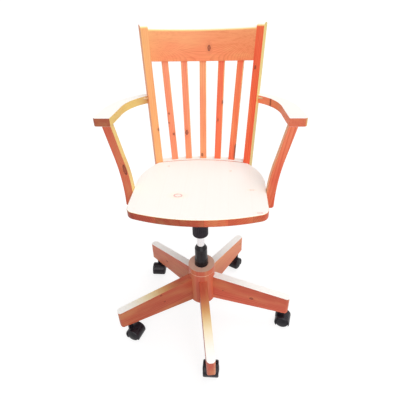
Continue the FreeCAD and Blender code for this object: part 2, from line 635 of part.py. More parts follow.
def make_seat_plate():
    plate = body("plate_body")
    x, y = "pan_long / 2", "pan_deep / 2"
    sheet_outline = box_loop("-plate_long / 2", "plate_long / 2", "-plate_deep / 2", "plate_deep / 2")
    pad(plate, "plate", sketch_on(plate, "plate_outline", "XY_Plane", [sheet_outline], offset=PLATE_UNDER),
        "plate_thick")
    outer = sketch_on(plate, "pan_outline", "XY_Plane", [box_loop("-" + x, x, "-" + y, y)], offset=PAN_BOTTOM)
    pad(plate, "pan", outer, "pan_drop")
    inner_x, inner_y = f"({x} - plate_thick)", f"({y} - plate_thick)"
    inner = sketch_on(plate, "pan_inside", "XY_Plane",
                      [box_loop(f"-{inner_x}", inner_x, f"-{inner_y}", inner_y)], offset=SEAT_UNDER)
    pocket(plate, "pan_hollow", inner, f"{SEAT_UNDER} - {PAN_FLOOR}")
    ring = sketch_on(plate, "socket_hole_ring", "XY_Plane",
                     circles=[("0", "0", "socket_tube_radius + fit_gap / 2")], offset=PAN_FLOOR)
    pocket(plate, "socket_hole", ring, "2 * plate_thick")
    slot_half = "(lever_bar_wide / 2 + lever_slot_side)"
    slot = solid("Box", "lever_slot", at(inner_x, f"-{slot_half}", f"{LEVER_UNDER} - lever_slot_side"),
                 Length="2 * plate_thick", Width=f"2 * {slot_half}",
                 Height=f"{PLATE_UNDER} - {LEVER_UNDER} + lever_slot_side")
    pivot = pivot_pin("pivot_hole", "fit_gap / 2", "plate_thick")
    screws = plate_screws("plate_screw_hole", "fit_gap")
    keep(cut("plate_cut", plate, [slot, pivot] + screws), "seat_plate")
    socket = box_loop("lift_radius + fit_gap / 2", "socket_tube_radius", "socket_tube_bottom", PAN_FLOOR)
    keep(turned("socket_tube", socket), "taper_socket")


def pivot_pin(name, extra="0", more="0"):
    half = f"(pan_deep / 2 + {more})"
    return solid("Cylinder", name, at("lever_pivot_x", half, LEVER_MIDDLE, "1; 0; 0", 90),
                 Radius=f"pivot_radius + {extra}", Height=f"2 * {half}")


def make_lever():
    """A flat bar on a pivot: its tail presses the release pin when the handle is lifted."""
    bar = solid("Box", "lever_bar", at("-lever_tail", "-lever_bar_wide / 2", LEVER_UNDER),
                Length="lever_bar_end + lever_tail", Width="lever_bar_wide", Height="lever_bar_thick")
    root = at("lever_bar_end - lever_rod_radius", 0, LEVER_MIDDLE, "0; 1; 0", "90 + lever_droop")
    rod = solid("Cylinder", "lever_rod", root, Radius="lever_rod_radius", Height="lever_rod_long")
    trim = solid("Box", "lever_rod_trim",
                 at("-lever_tail", "-lever_bar_wide", f"{LEVER_UNDER} + lever_bar_thick"),
                 Length="lever_rod_long", Width="2 * lever_bar_wide", Height="lever_bar_thick")
    whole = group("MultiFuse", "lever_whole", [bar, rod])
    keep(cut("lever", whole, [trim, pivot_pin("lever_bore", "run_gap")]), "release_lever")
    keep(pivot_pin("lever_pivot"), "lever_pivot_pin")
    knob = body("knob_body", root)
    across, along = "knob_wide / 2", "knob_thick / 2"
    start = "lever_rod_long - knob_grip"
    face = sketch_on(knob, "knob_face", "XY_Plane", [box_loop("-" + along, along, "-" + across, across)],
                     offset=start)
    block = pad(knob, "knob_block", face, "knob_long")
    round_edges(knob, "knob_edges", block, "lever_rod_radius", upright)
    ring = sketch_on(knob, "knob_bore_ring", "XY_Plane",
                     circles=[("0", "0", "lever_rod_radius + fit_gap / 2")],
                     offset="lever_rod_long + fit_gap")
    pocket(knob, "knob_bore", ring, "knob_long")
    keep(knob, "lever_knob")


def make_column_cover():
    top = f"({PAN_BOTTOM} - cover_top_gap)"
    cover = turned("cover_body", [
        ("cover_bore", "cover_bottom"), ("cover_radius - cover_lip", "cover_bottom", "cover_lip", 1),
        ("cover_radius", "cover_bottom + cover_lip"), ("cover_radius", top),
        ("socket_tube_radius + fit_gap", top), ("socket_tube_radius + fit_gap", f"{top} - cover_roof"),
        ("cover_bore", f"{top} - cover_roof")])
    ring = sketch_on(cover, "flute_ring", "XY_Plane", circles=[("cover_radius", "0", "flute_radius")],
                     offset="cover_bottom + 2 * cover_lip")
    flute = pocket(cover, "flute", ring, f"{top} - cover_bottom", reverse=True)
    doc.recompute()
    pattern = cover.newObject("PartDesign::PolarPattern", "flutes")
    pattern.Originals = [flute]
    pattern.Axis = (next(line for line in cover.Origin.OriginFeatures if line.Role == "Z_Axis"), [""])
    bind(pattern, Occurrences="flute_count")
    cover.Tip = pattern
    keep(cover, "column_cover")


# The back: everything in it leans together, and its frame has x across, y back and z up the lean

BACK = at(0, "back_foot_y", "seat_top", "1; 0; 0", "-back_lean")


def stile_place(sign):
    """The middle of a stile's front face at the seat, turned inward and splayed outward."""
    splay = f"{sign} * atan(stile_spread / stile_long)"
    return " * ".join((BACK, at(f"{sign} * {STILE_FOOT}", "-stile_ahead"), at(axis="0; 1; 0", turn=splay),
                       at(turn=f"{-sign} * stile_toe")))


def make_stile(side, sign):
    name = f"stile_{side}"
    stile = body(name + "_body", stile_place(sign))
    outline = sketch_on(stile, name + "_side", "YZ_Plane", [[
        ("0", "-stile_below"), ("stile_deep", "-stile_below"),
        ("stile_deep", "stile_long - stile_heel", "stile_heel", 1), ("stile_deep - stile_heel", "stile_long"),
        ("stile_nose", "stile_long", "stile_nose", 1), ("0", "stile_long - stile_nose")]])
    pad(stile, name + "_board", outline, "stile_wide", "Symmetric")
    below = solid("Box", name + "_level_cut", at("-seat_half", "seat_side_end", f"{SEAT_UNDER} - seat_half"),
                  Length="2 * seat_half", Width="2 * seat_half", Height="seat_half")
    holes = [frame_dowel(f"{name}_{spot}_hole", place, "fit_gap") for spot, place in stile_dowel_places(sign)]
    return cut(name + "_cut", stile, [below] + holes)


def stile_cutter(name, sign, face):
    """A large block on one side of a stile's face: inner is what lies beyond it for the rails
    between the stiles, and outer is what lies inside it for an arm."""
    reach = "seat_half"
    if face == "inner":
        start = "-stile_wide / 2" if sign > 0 else f"stile_wide / 2 - {reach}"
    else:
        start = f"stile_wide / 2 - {reach}" if sign > 0 else "-stile_wide / 2"
    place = stile_place(sign) + " * " + at(start, f"-{reach}", "-stile_long")
    return solid("Box", f"{name}_{face}_cutter", place, Length=reach, Width=f"2 * {reach}",
                 Height="3 * stile_long")


SLATS = (
    (1, -1, "outer_slat_foot", "outer_slat_top", "outer_slat_toe"),
    (2, -1, "inner_slat_foot", "inner_slat_top", "inner_slat_toe"),
    (3, 1, "0", "0", "0"),
    (4, 1, "inner_slat_foot", "inner_slat_top", "inner_slat_toe"),
    (5, 1, "outer_slat_foot", "outer_slat_top", "outer_slat_toe"),
)


def make_slat(number, side, foot, top, toe):
    """A straight slat from the rail behind the seat to the crest, with a housed end in each."""
    ahead = f"({foot} ^ 2 / (2 * slat_foot_radius))"
    rise = f"(crest_behind + slat_set_back - {top} ^ 2 / (2 * crest_radius) + {ahead})"
    out = f"{side} * atan(({top} - {foot}) / crest_bottom)"
    place = " * ".join((BACK, at(f"{side} * {foot}", f"-{ahead}"), at(axis="0; 1; 0", turn=out),
                        at(axis="1; 0; 0", turn=f"-atan({rise} / crest_bottom)"), at(turn=f"{-side} * {toe}"),
                        at("-slat_wide / 2", 0, "-slat_tenon")))
    slat = solid("Box", f"slat_{number}_board", place, Length="slat_wide", Width="slat_thick",
                 Height="crest_bottom + 2 * slat_tenon")
    return keep(slat, f"slat_{number}")


def make_back_rails(slats, cutters):
    """The rail behind the seat follows its back edge, and the crest closes the top of the back."""
    start, back = "(seat_back_radius + rail_gap)", "(seat_back_radius + rail_deep)"
    groove, ledge = "(seat_back_radius + rail_groove)", "(seat_top - rail_groove_deep)"
    rail = turned("rail_blank", [
        (start, SEAT_UNDER), (back, SEAT_UNDER), (back, "seat_top"), (groove, "seat_top"), (groove, ledge),
        (start, ledge)], at(0, "seat_back - seat_back_radius"),
        f"2 * asin(({SEAT_BACK_HALF} + stile_wide) / seat_back_radius)")
    holes = rail_screws("rail_screw_hole", "fit_gap")
    keep(cut("rail", rail, slats + cutters + holes), "back_foot_rail")
    outer = "(crest_radius + crest_thick)"
    crest = turned("crest_blank", [
        ("crest_radius", "crest_bottom"), (outer, "crest_bottom"),
        (outer, "crest_top - crest_heel", "crest_heel", 1),
        (f"{outer} - crest_heel", "crest_top"), ("crest_radius + crest_nose", "crest_top", "crest_nose", 1),
        ("crest_radius", "crest_top - crest_nose")],
        f"{BACK} * {at(0, 'crest_behind - crest_radius')}",
        f"2 * asin(({STILE_TOP} + stile_wide) / crest_radius)")
    holes = [frame_dowel(f"crest_{side}_{spot}_hole", place, "fit_gap")
             for side, sign in SIDES for spot, place in crest_dowel_places(sign)]
    keep(cut("crest", crest, slats + cutters + holes), "crest_rail")


# The seat


def make_seat(stiles):
    seat = body("seat_body")
    # the front edge is an arc, so its ends lie further back than its middle
    corner_y = "(seat_front_radius - seat_front - sqrt(seat_front_radius ^ 2 - seat_half ^ 2))"
    back_y = f"(seat_back - seat_back_radius + sqrt(seat_back_radius ^ 2 - {SEAT_BACK_HALF} ^ 2))"
    outline = sketch_on(seat, "seat_outline", "XY_Plane", [[
        ("-seat_half", corner_y, "seat_front_radius", 1), ("seat_half", corner_y),
        ("seat_half", "seat_side_end", "seat_side_radius", 1),
        (SEAT_BACK_HALF, back_y, "seat_back_radius", 1),
        ("-" + SEAT_BACK_HALF, back_y, "seat_side_radius", 1), ("-seat_half", "seat_side_end")]],
        offset=SEAT_UNDER)
    panel = pad(seat, "seat_board", outline, "seat_thick")
    front = size("-seat_front / 2")
    corners = round_edges(seat, "seat_corners", panel, "seat_corner",
                          lambda edge: upright(edge) and edge.BoundBox.Center.y < front)
    back = size("seat_side_end")
    round_edges(seat, "seat_edges", corners, "seat_edge",
                lambda edge: edge.BoundBox.ZLength < 0.01 and edge.BoundBox.YMin < back)
    holes = plate_screws("seat_screw_hole", "fit_gap") + rail_screws("seat_rail_screw_hole", "fit_gap")
    keep(cut("seat", seat, stiles + holes + post_bolts("seat_bolt_hole", "fit_gap")), "seat_panel")


# The arms and their posts


def make_arm(side, sign, cutter):
    name = f"arm_{side}"
    arm = body(name + "_body", at(z=ARM_UNDER))
    end_x = "seat_half - arm_end_inset"
    inner = [(end_x, "arm_end_inner_y", "arm_inner_radius", -1), ("seat_half + arm_bend_inner", "arm_bend_y"),
             ("seat_half + arm_front_inner", "arm_front_y")]
    outer = [(f"{ARM_FRONT} - arm_corner", "arm_front_y", "arm_corner", 1),
             (ARM_FRONT, "arm_front_y + arm_corner"),
             ("seat_half + arm_bend_outer", "arm_bend_y", "arm_outer_radius", 1), (end_x, "arm_end_outer_y")]
    corners = mirrored(inner + outer, sign)
    pad(arm, name + "_board", sketch_on(arm, name + "_outline", "XY_Plane", [corners]), "arm_thick")
    holes = [frame_dowel(f"{name}_{spot}_hole", place, "fit_gap") for spot, place in arm_dowel_places(sign)]
    keep(cut(name + "_cut", arm, [cutter] + holes), name)


def mirrored(corners, sign):
    """The outline itself for the right side, or its mirror image, walked the other way round."""
    if sign > 0:
        return corners
    turned_round = []
    for here in range(len(corners), 0, -1):
        corner, before = corners[here % len(corners)], corners[here - 1]
        turned_round.append((f"-({corner[0]})", corner[1]) + tuple(before[2:]))
    return turned_round


POST_TOP = "(post_bend_drop / cos(post_lean))"


def post_place():
    """The post's front plane, with its origin under the arm."""
    return at(0, "post_front_y", ARM_UNDER, "1; 0; 0", "-post_lean")


def make_post(side, sign):
    name = f"arm_post_{side}"
    post = body(name + "_body", post_place())
    foot = f"(-({ARM_UNDER} - {SEAT_UNDER} + post_foot_drop) / cos(post_lean))"
    seat_level = f"(-({ARM_UNDER} - seat_top) / cos(post_lean))"
    above = "arm_thick"
    slope_in = f"((post_top_inner - post_bend_inner) / {POST_TOP} * {above})"
    slope_out = f"((post_top_outer - post_bend_outer) / {POST_TOP} * {above})"
    corners = [
        ("seat_half", foot), ("seat_half + post_foot_outer - post_foot_corner", foot, "post_foot_corner", 1),
        ("seat_half + post_foot_outer", f"{foot} + post_foot_corner", "post_outer_radius", -1),
        ("seat_half + post_bend_outer", f"-{POST_TOP}"), (f"seat_half + post_top_outer + {slope_out}", above),
        (f"seat_half + post_top_inner + {slope_in}", above),
        ("seat_half + post_bend_inner", f"-{POST_TOP}", "post_inner_radius", 1), ("seat_half", seat_level)]
    outline = sketch_on(post, name + "_front", "XZ_Plane", [mirrored(corners, sign)])
    pad(post, name + "_board", outline, "post_deep", reverse=True)
    top = solid("Box", name + "_level_cut", at(f"({sign} - 1) * {ARM_FRONT}", "-seat_half", ARM_UNDER),
                Length=f"2 * {ARM_FRONT}", Width="2 * seat_half", Height="4 * arm_thick")
    holes = [frame_dowel(f"{name}_{spot}_hole", place, "fit_gap")
             for spot, place in arm_dowel_places(sign) if "post" in spot]
    bolts = post_bolts(f"{name}_bolt_hole", "fit_gap")
    bolts = [hole for hole in bolts if side in hole.Name.split("hole")[-1]]
    keep(cut(name + "_cut", post, [top] + holes + bolts), name)


# Dowels, screws and bolts


def frame_dowel(name, place, extra="0"):
    """A dowel centred on its place, along its Z axis, or with an extra radius the hole for it."""
    return solid("Cylinder", name, f"{place} * {at(z=f'-(frame_dowel_long / 2 + {extra})')}",
                 Radius=f"dowel_radius + {extra}", Height=f"frame_dowel_long + 2 * {extra}")


def arm_dowel_places(sign):
    """Two dowels from each post up into its arm, and one from the arm's end into the stile."""
    x = f"{sign} * (seat_half + (post_top_inner + post_top_outer) / 2)"
    y = "post_front_y + post_deep / 2 / cos(post_lean)"
    spots = [(f"post_{end}", at(x, f"{y} + {step} * post_dowel_apart / 2", f"{ARM_UNDER} - arm_thick / 4"))
             for end, step in (("front", -1), ("rear", 1))]
    return spots + arm_end_dowel_places(sign)


def arm_end_dowel_places(sign):
    level = f"(({ARM_UNDER} + arm_thick / 2 - seat_top) / cos(back_lean))"
    return [("arm_end", f"{stile_place(sign)} * "
             + at(f"{sign} * stile_wide / 2", "stile_deep / 2", level, "0; 1; 0", 90))]


def crest_dowel_places(sign):
    return [(f"crest_{level[12:]}", f"{stile_place(sign)} * "
             + at(f"{-sign} * stile_wide / 2", "crest_thick / 2", level, "0; 1; 0", 90))
            for level in ("crest_dowel_low", "crest_dowel_high")]


def stile_dowel_places(sign):
    return crest_dowel_places(sign) + arm_end_dowel_places(sign)


def screw(name, place, length, extra="0"):
    """A screw whose head's top is at its place and whose shank points along -Z."""
    shank = solid("Cylinder", name + "_shank", f"{place} * {at(z=f'-{length} - {extra}')}",
                  Radius=f"screw_radius + {extra}", Height=f"{length} + {extra}")
    head = solid("Cone", name + "_head", f"{place} * {at(z='-screw_head_high')}",
                 Radius1=f"screw_radius + {extra}", Radius2=f"screw_head + {extra}", Height="screw_head_high")
    return group("MultiFuse", name, [shank, head])


def plate_screws(name, extra="0"):
    return [screw(f"{name}_{across + 2}{along + 2}",
                  at(f"{across} * plate_screw_x", f"{along} * plate_screw_y", PLATE_UNDER, "1; 0; 0", 180),
                  "plate_screw_long", extra)
            for across in (-1, 1) for along in (-1, 1)]


def rail_screws(name, extra="0"):
    """Screws through the rail behind the seat, all pointing at the centre of its curve."""
    middle = "seat_top - seat_thick / 2 - rail_groove_deep / 2"
    return [screw(f"{name}_{number}",
                  at(0, "seat_back - seat_back_radius", middle, turn=f"{number - 1.5} * rail_screw_turn")
                  + " * " + at(0, "seat_back_radius + rail_deep", 0, "1; 0; 0", -90),
                  "rail_screw_long", extra)
            for number in range(4)]


def post_bolts(name, extra="0"):
    """Two bolts through the foot of each post into the seat's side."""
    middle = f"({SEAT_UNDER} + seat_thick / 2)"
    y = f"(post_front_y - ({ARM_UNDER} - {middle}) * tan(post_lean) + post_deep / 2 / cos(post_lean))"
    return [screw(f"{name}_{side}_{step + 2}",
                  at(f"{sign} * (seat_half + post_foot_outer)", f"{y} + {step} * post_bolt_apart / 2", middle,
                     "0; 1; 0", 90 * sign), "post_bolt_long", extra)
            for side, sign in SIDES for step in (-1, 1)]


def make_fasteners():
    keep(group("Compound", "leg_dowel_set", leg_dowels("leg_dowel")), "leg_dowels")
    places = [(f"{side}_{spot}", place) for side, sign in SIDES
              for spot, place in arm_dowel_places(sign) + crest_dowel_places(sign)]
    dowels = [frame_dowel(f"frame_dowel_{spot}", place) for spot, place in places]
    keep(group("Compound", "frame_dowel_set", dowels), "frame_dowels")
    keep(group("Compound", "plate_screw_set", plate_screws("plate_screw")), "seat_plate_screws")
    keep(group("Compound", "rail_screw_set", rail_screws("rail_screw")), "back_rail_screws")
    keep(group("Compound", "post_bolt_set", post_bolts("post_bolt")), "arm_post_bolts")


def make_chair():
    make_hub()
    for number in range(LEGS):
        make_leg(number)
        make_caster(number)
    make_sockets()
    make_lift()
    make_seat_plate()
    make_lever()
    make_column_cover()
    stiles = {side: keep(make_stile(side, sign), f"stile_{side}") for side, sign in SIDES}
    slats = [make_slat(*slat) for slat in SLATS]
    make_back_rails(slats, [stile_cutter("stile_" + side, sign, "inner") for side, sign in SIDES])
    make_seat(list(stiles.values()))
    for side, sign in SIDES:
        make_arm(side, sign, stile_cutter("arm_" + side, sign, "outer"))
        make_post(side, sign)
    make_fasteners()
    doc.recompute()


def check_chair():
    for thing in doc.Objects:
        if "Invalid" in thing.State or "Error" in thing.State:
            raise RuntimeError(f"{thing.Name} ({thing.Label}) failed: {thing.State}")
    for node, piece in pieces.items():
        if piece.Shape.isNull() or not piece.Shape.isValid() or piece.Shape.Volume <= 0:
            raise RuntimeError(f"{node} has no valid solid")


make_chair()
check_chair()
os.makedirs("parts", exist_ok=True)
for node, piece in pieces.items():
    piece.Shape.exportStep(f"parts/{node}.step")
    print(node, len(piece.Shape.Solids), round(piece.Shape.Volume))
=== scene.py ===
# %% [markdown]
# A wooden bankers swivel chair: pine seat, slatted back and arms on a gas lift, with a
# five-legged pine base on casters. The frame of the chair comes packed from the CAD source,
# in metres, and stays where it is. This lesson dresses it: each board gets its eased edges
# and its own grain, the plastic and metal pieces get their finish, and the camera stands
# where the photographer stood.

import json
from math import atan, cos, degrees, pi, radians, sin, tan

import bmesh
import bpy
from mathutils import Matrix, Vector


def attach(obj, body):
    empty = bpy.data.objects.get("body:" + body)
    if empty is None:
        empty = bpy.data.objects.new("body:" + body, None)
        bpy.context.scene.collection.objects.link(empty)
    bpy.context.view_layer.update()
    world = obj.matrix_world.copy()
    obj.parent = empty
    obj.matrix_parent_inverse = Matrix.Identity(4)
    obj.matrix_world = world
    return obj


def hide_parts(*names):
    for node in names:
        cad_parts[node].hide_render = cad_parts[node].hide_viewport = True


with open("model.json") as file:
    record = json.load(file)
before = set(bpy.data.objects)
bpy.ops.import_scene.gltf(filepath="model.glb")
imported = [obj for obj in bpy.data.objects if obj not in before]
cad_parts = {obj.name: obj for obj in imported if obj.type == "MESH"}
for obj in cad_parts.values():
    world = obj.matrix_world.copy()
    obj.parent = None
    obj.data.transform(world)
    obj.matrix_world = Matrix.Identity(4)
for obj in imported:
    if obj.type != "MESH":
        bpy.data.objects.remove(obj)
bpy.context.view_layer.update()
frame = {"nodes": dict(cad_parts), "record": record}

# %% [markdown]
# The camera. The photograph looks down on the chair from a little above a standing person's
# elbow, from the front and slightly to the sitter's left. The place, the three turns and the
# lens were worked out from points of the chair whose sizes agree with each other, so the
# matrix is built from yaw, pitch and roll instead of aiming the camera at a target.

# %% camera
CAMERA_PLACE = (0.0898, -1.0051, 1.2454)
CAMERA_YAW, CAMERA_PITCH, CAMERA_ROLL = radians(-4.965), radians(34.336), radians(-1.952)
PHOTO_SIDE, FOCAL_PIXELS, SENSOR = 400, 360.81, 36

ahead = Vector((sin(CAMERA_YAW) * cos(CAMERA_PITCH), cos(CAMERA_YAW) * cos(CAMERA_PITCH),
                -sin(CAMERA_PITCH)))
level = Vector((cos(CAMERA_YAW), -sin(CAMERA_YAW), 0))
above = level.cross(ahead)
right = level * cos(CAMERA_ROLL) + above * sin(CAMERA_ROLL)
up = above * cos(CAMERA_ROLL) - level * sin(CAMERA_ROLL)

camera_data = bpy.data.cameras.new("camera")
camera_data.sensor_width = SENSOR
camera_data.lens = FOCAL_PIXELS / PHOTO_SIDE * SENSOR
camera = bpy.data.objects.new("camera", camera_data)
camera.matrix_world = (Matrix.Translation(CAMERA_PLACE)
                       @ Matrix((right, up, -ahead)).transposed().to_4x4())
bpy.context.scene.collection.objects.link(camera)
bpy.context.scene.camera = camera
print("lens", round(camera_data.lens, 2), "mm")

# %% [markdown]
# Nodes in Blender are boxes with sockets, and building them in code takes many lines. A small
# class keeps that readable: it adds a node, fills its inputs with numbers or with the outputs
# of other nodes, and gives back the output that the next node needs.

# %% node helpers


class Nodes:
    """Adds nodes to a node tree. An input is a number, a colour or another node's output."""

    def __init__(self, tree):
        self.tree = tree

    def add(self, kind, inputs=None, **settings):
        node = self.tree.nodes.new(kind)
        for name, value in settings.items():
            setattr(node, name, value)
        for name, value in (inputs or {}).items():
            self.feed(node.inputs[name], value)
        return node

    def feed(self, socket, value):
        if isinstance(value, bpy.types.NodeSocket):
            self.tree.links.new(value, socket)
        else:
            socket.default_value = value

    def math(self, operation, *values):
        return self.add("ShaderNodeMath", dict(enumerate(values)), operation=operation).outputs[0]

    def vector(self, operation, *values):
        node = self.add("ShaderNodeVectorMath", operation=operation)
        for number, value in enumerate(values):
            self.feed(node.inputs["Scale" if operation == "SCALE" and number == 1 else number], value)
        return node.outputs["Value" if operation in ("LENGTH", "DOT_PRODUCT") else "Vector"]

    def smooth(self, value, start, end, low=0.0, high=1.0):
        """Rises smoothly from low to high while the value goes from start to end."""
        return self.add("ShaderNodeMapRange", {"Value": value, "From Min": start, "From Max": end,
                                               "To Min": low, "To Max": high},
                        interpolation_type="SMOOTHSTEP").outputs["Result"]

    def mix(self, share, a, b, blend="MIX"):
        node = self.add("ShaderNodeMix", data_type="RGBA", blend_type=blend)
        for number, value in ((0, share), (6, a), (7, b)):
            self.feed(node.inputs[number], value)
        return node.outputs[2]

    def noise(self, vector, scale, detail=2.0, roughness=0.5):
        return self.add("ShaderNodeTexNoise", {"Vector": vector, "Scale": scale, "Detail": detail,
                                               "Roughness": roughness}).outputs["Fac"]


def shader_group(name, inputs, outputs):
    """An empty shader node group with named sockets. Returns its nodes and its two ends."""
    tree = bpy.data.node_groups.new(name, "ShaderNodeTree")
    kinds = {"value": "NodeSocketFloat", "vector": "NodeSocketVector", "colour": "NodeSocketColor"}
    for in_out, sockets in (("INPUT", inputs), ("OUTPUT", outputs)):
        for socket, kind in sockets.items():
            tree.interface.new_socket(socket, in_out=in_out, socket_type=kinds[kind])
    nodes = Nodes(tree)
    return nodes, nodes.add("NodeGroupInput").outputs, nodes.add("NodeGroupOutput").inputs


def new_material(name):
    """An empty material, its nodes and its Principled shader."""
    material = bpy.data.materials.new(name)
    material.use_nodes = True
    material.node_tree.nodes.clear()
    nodes = Nodes(material.node_tree)
    shader = nodes.add("ShaderNodeBsdfPrincipled")
    output = nodes.add("ShaderNodeOutputMaterial")
    nodes.feed(output.inputs["Surface"], shader.outputs[0])
    return material, nodes, shader


def paint(red, green, blue):
    """A colour as it looks on a screen, 0 to 255, as the numbers that Blender works in."""
    screen = [part / 255 for part in (red, green, blue)]
    linear = [part / 12.92 if part <= 0.04045 else ((part + 0.055) / 1.055) ** 2.4 for part in screen]
    return (*linear, 1)


print("white is", paint(255, 255, 255)[:3])

# %% [markdown]
# The room. The photograph has a white ground with hardly a shadow, so the world and the floor
# show white to the camera and in reflections, while what they shine on the chair stays at a
# plain level. Two broad soft suns stand in for the room: a window high up behind on the right,
# which lights what looks up and lets the seat's shadow fall on the front and left legs, and a
# weaker fill from in front. The floor still takes a faint shadow.

# %% world, floor and light
scene = bpy.context.scene
scene.view_settings.view_transform = "Standard"

SKY_LEVEL = 0.45
SUNS = {"window": ((0.28, 0.16, 0.94), 1.0, 36), "fill": ((0.15, -0.8, 0.58), 1.5, 60)}

world = bpy.data.worlds.new("pale_room")
scene.world = world
world.use_nodes = True
world.node_tree.nodes.clear()
sky = Nodes(world.node_tree)


def seen_directly(nodes):
    """1 for rays from the camera and for reflections, 0 for the light that falls on things."""
    path = nodes.add("ShaderNodeLightPath").outputs
    seen = nodes.math("MAXIMUM", path["Is Camera Ray"], path["Is Glossy Ray"])
    return nodes.math("MAXIMUM", seen, path["Is Transmission Ray"])


strength = sky.math("MULTIPLY_ADD", seen_directly(sky), 1 - SKY_LEVEL, SKY_LEVEL)
background = sky.add("ShaderNodeBackground", {"Color": (1, 1, 1, 1), "Strength": strength})
sky.feed(sky.add("ShaderNodeOutputWorld").inputs["Surface"], background.outputs[0])

for name, (place, level, spread) in SUNS.items():
    sun_data = bpy.data.lights.new(name, "SUN")
    sun_data.energy, sun_data.angle = level, radians(spread)
    sun = bpy.data.objects.new(name, sun_data)
    sun.rotation_mode = "QUATERNION"
    sun.rotation_quaternion = Vector(place).to_track_quat("Z", "Y")
    scene.collection.objects.link(sun)

FLOOR_HALF, FLOOR_DROP = 30, 0.0005
FLOOR_MATT, FLOOR_FAINT, FLOOR_GLOW = 0.55, 0.26, 0.82
floor_mesh = bpy.data.meshes.new("floor")
floor_corners = [(x * FLOOR_HALF, y * FLOOR_HALF, -FLOOR_DROP)
                 for x, y in ((-1, -1), (1, -1), (1, 1), (-1, 1))]
floor_mesh.from_pydata(floor_corners, [], [(0, 1, 2, 3)])
floor = bpy.data.objects.new("floor", floor_mesh)
scene.collection.objects.link(floor)
floor_paint = bpy.data.materials.new("pale_floor")
floor_paint.use_nodes = True
floor_paint.node_tree.nodes.clear()
ground = Nodes(floor_paint.node_tree)
matt = ground.add("ShaderNodeBsdfDiffuse", {"Color": (*[FLOOR_MATT] * 3, 1)})
faint = ground.add("ShaderNodeBsdfDiffuse", {"Color": (*[FLOOR_FAINT] * 3, 1)})
glow = ground.add("ShaderNodeEmission", {"Color": (1, 1, 1, 1), "Strength": FLOOR_GLOW})
both = ground.add("ShaderNodeAddShader")
ground.feed(both.inputs[0], faint.outputs[0])
ground.feed(both.inputs[1], glow.outputs[0])
choice = ground.add("ShaderNodeMixShader", {"Fac": seen_directly(ground)})
ground.feed(choice.inputs[1], matt.outputs[0])
ground.feed(choice.inputs[2], both.outputs[0])
ground.feed(ground.add("ShaderNodeOutputMaterial").inputs["Surface"], choice.outputs[0])
floor_mesh.materials.append(floor_paint)
print("sky", SKY_LEVEL, "suns", len(SUNS))

# %% [markdown]
# Pine. A board is a slice of a log, so its figure is three-dimensional: the growth rings are
# cylinders round the pith, and what shows on a face, an edge or an end is where that face cuts
# them. The group below measures the distance from a pith that lies outside the board, lets it
# wander slowly along the grain, and turns it into pale early wood and thin dark late wood.
# A texture of straight stripes would be simpler, but the ends of the boards would look wrong.
# Streaks are the wider soft bands of heartwood that run the length of a board.

# %% growth rings
nodes, given, result = shader_group(
    "growth_rings",
    {"Place": "vector", "Pith": "vector", "Ring": "value", "Wander": "value", "Swell": "value",
     "Seed": "value"},
    {"Late Wood": "value", "Streak": "value", "Fibre": "value", "Cloud": "value"})
seeded = nodes.vector("ADD", given["Place"], nodes.vector("SCALE", (3.1, 1.7, 2.3), given["Seed"]))
slow = nodes.noise(nodes.vector("MULTIPLY", seeded, (9, 9, 2.2)), 1.0, 2.0)
wander = nodes.math("MULTIPLY", nodes.math("SUBTRACT", slow, 0.5), given["Wander"])
from_pith = nodes.vector("SUBTRACT", given["Place"], given["Pith"])
from_pith = nodes.vector("MULTIPLY", from_pith, (1, 1, 0.03))
distance = nodes.math("ADD", nodes.vector("LENGTH", from_pith), wander)
distance = nodes.math("ADD", distance, given["Swell"])
turns = nodes.math("FRACT", nodes.math("DIVIDE", distance, given["Ring"]))
late = nodes.math("MULTIPLY", nodes.smooth(turns, 0.35, 0.93), nodes.smooth(turns, 0.94, 1.0, 1.0, 0.0))
strong = nodes.noise(nodes.vector("MULTIPLY", seeded, (70, 70, 4)), 1.0, 1.0)
nodes.feed(result["Late Wood"], nodes.math("MULTIPLY", late, nodes.smooth(strong, 0.25, 0.7, 0.35, 1.0)))
bands = nodes.noise(nodes.vector("MULTIPLY", seeded, (240, 240, 7)), 1.0, 2.0)
nodes.feed(result["Streak"], nodes.smooth(bands, 0.42, 0.72))
nodes.feed(result["Fibre"], nodes.noise(nodes.vector("MULTIPLY", seeded, (1500, 1500, 26)), 1.0, 3.0, 0.6))
nodes.feed(result["Cloud"], nodes.noise(nodes.vector("MULTIPLY", seeded, (22, 22, 5)), 1.0, 3.0))
print("group", nodes.tree.name, len(nodes.tree.nodes), "nodes")

# %% [markdown]
# Knots. A knot is a branch that grew out through the trunk, so it crosses the board from face
# to face as a rough cylinder. It has a brown heart with rings of its own, a dark edge, and the
# grain of the board swells round it. One group does a single knot, and each board places as
# many as the photograph shows on it.

# %% knots
nodes, given, result = shader_group(
    "knot",
    {"Place": "vector", "Centre": "vector", "Half Size": "vector"},
    {"Heart": "value", "Edge": "value", "Halo": "value", "Swell": "value"})
offset = nodes.vector("SUBTRACT", given["Place"], given["Centre"])
ragged = nodes.noise(nodes.vector("MULTIPLY", given["Place"], (320, 0, 320)), 1.0, 2.0)
share = nodes.vector("DIVIDE", offset, given["Half Size"])
away = nodes.vector("LENGTH", nodes.vector("MULTIPLY", share, (1, 0, 1)))
away = nodes.math("ADD", away, nodes.math("MULTIPLY", nodes.math("SUBTRACT", ragged, 0.5), 0.7))
own_rings = nodes.smooth(nodes.math("SINE", nodes.math("MULTIPLY", away, 16.0)), -1.0, 1.0, 0.6, 1.0)
nodes.feed(result["Heart"], nodes.math("MULTIPLY", nodes.smooth(away, 0.7, 1.05, 1.0, 0.0), own_rings))
rim = nodes.math("MULTIPLY", nodes.smooth(away, 0.65, 0.95), nodes.smooth(away, 0.95, 1.25, 1.0, 0.0))
nodes.feed(result["Edge"], rim)
halo = nodes.smooth(away, 0.8, 3.4, 1.0, 0.0)
nodes.feed(result["Halo"], halo)
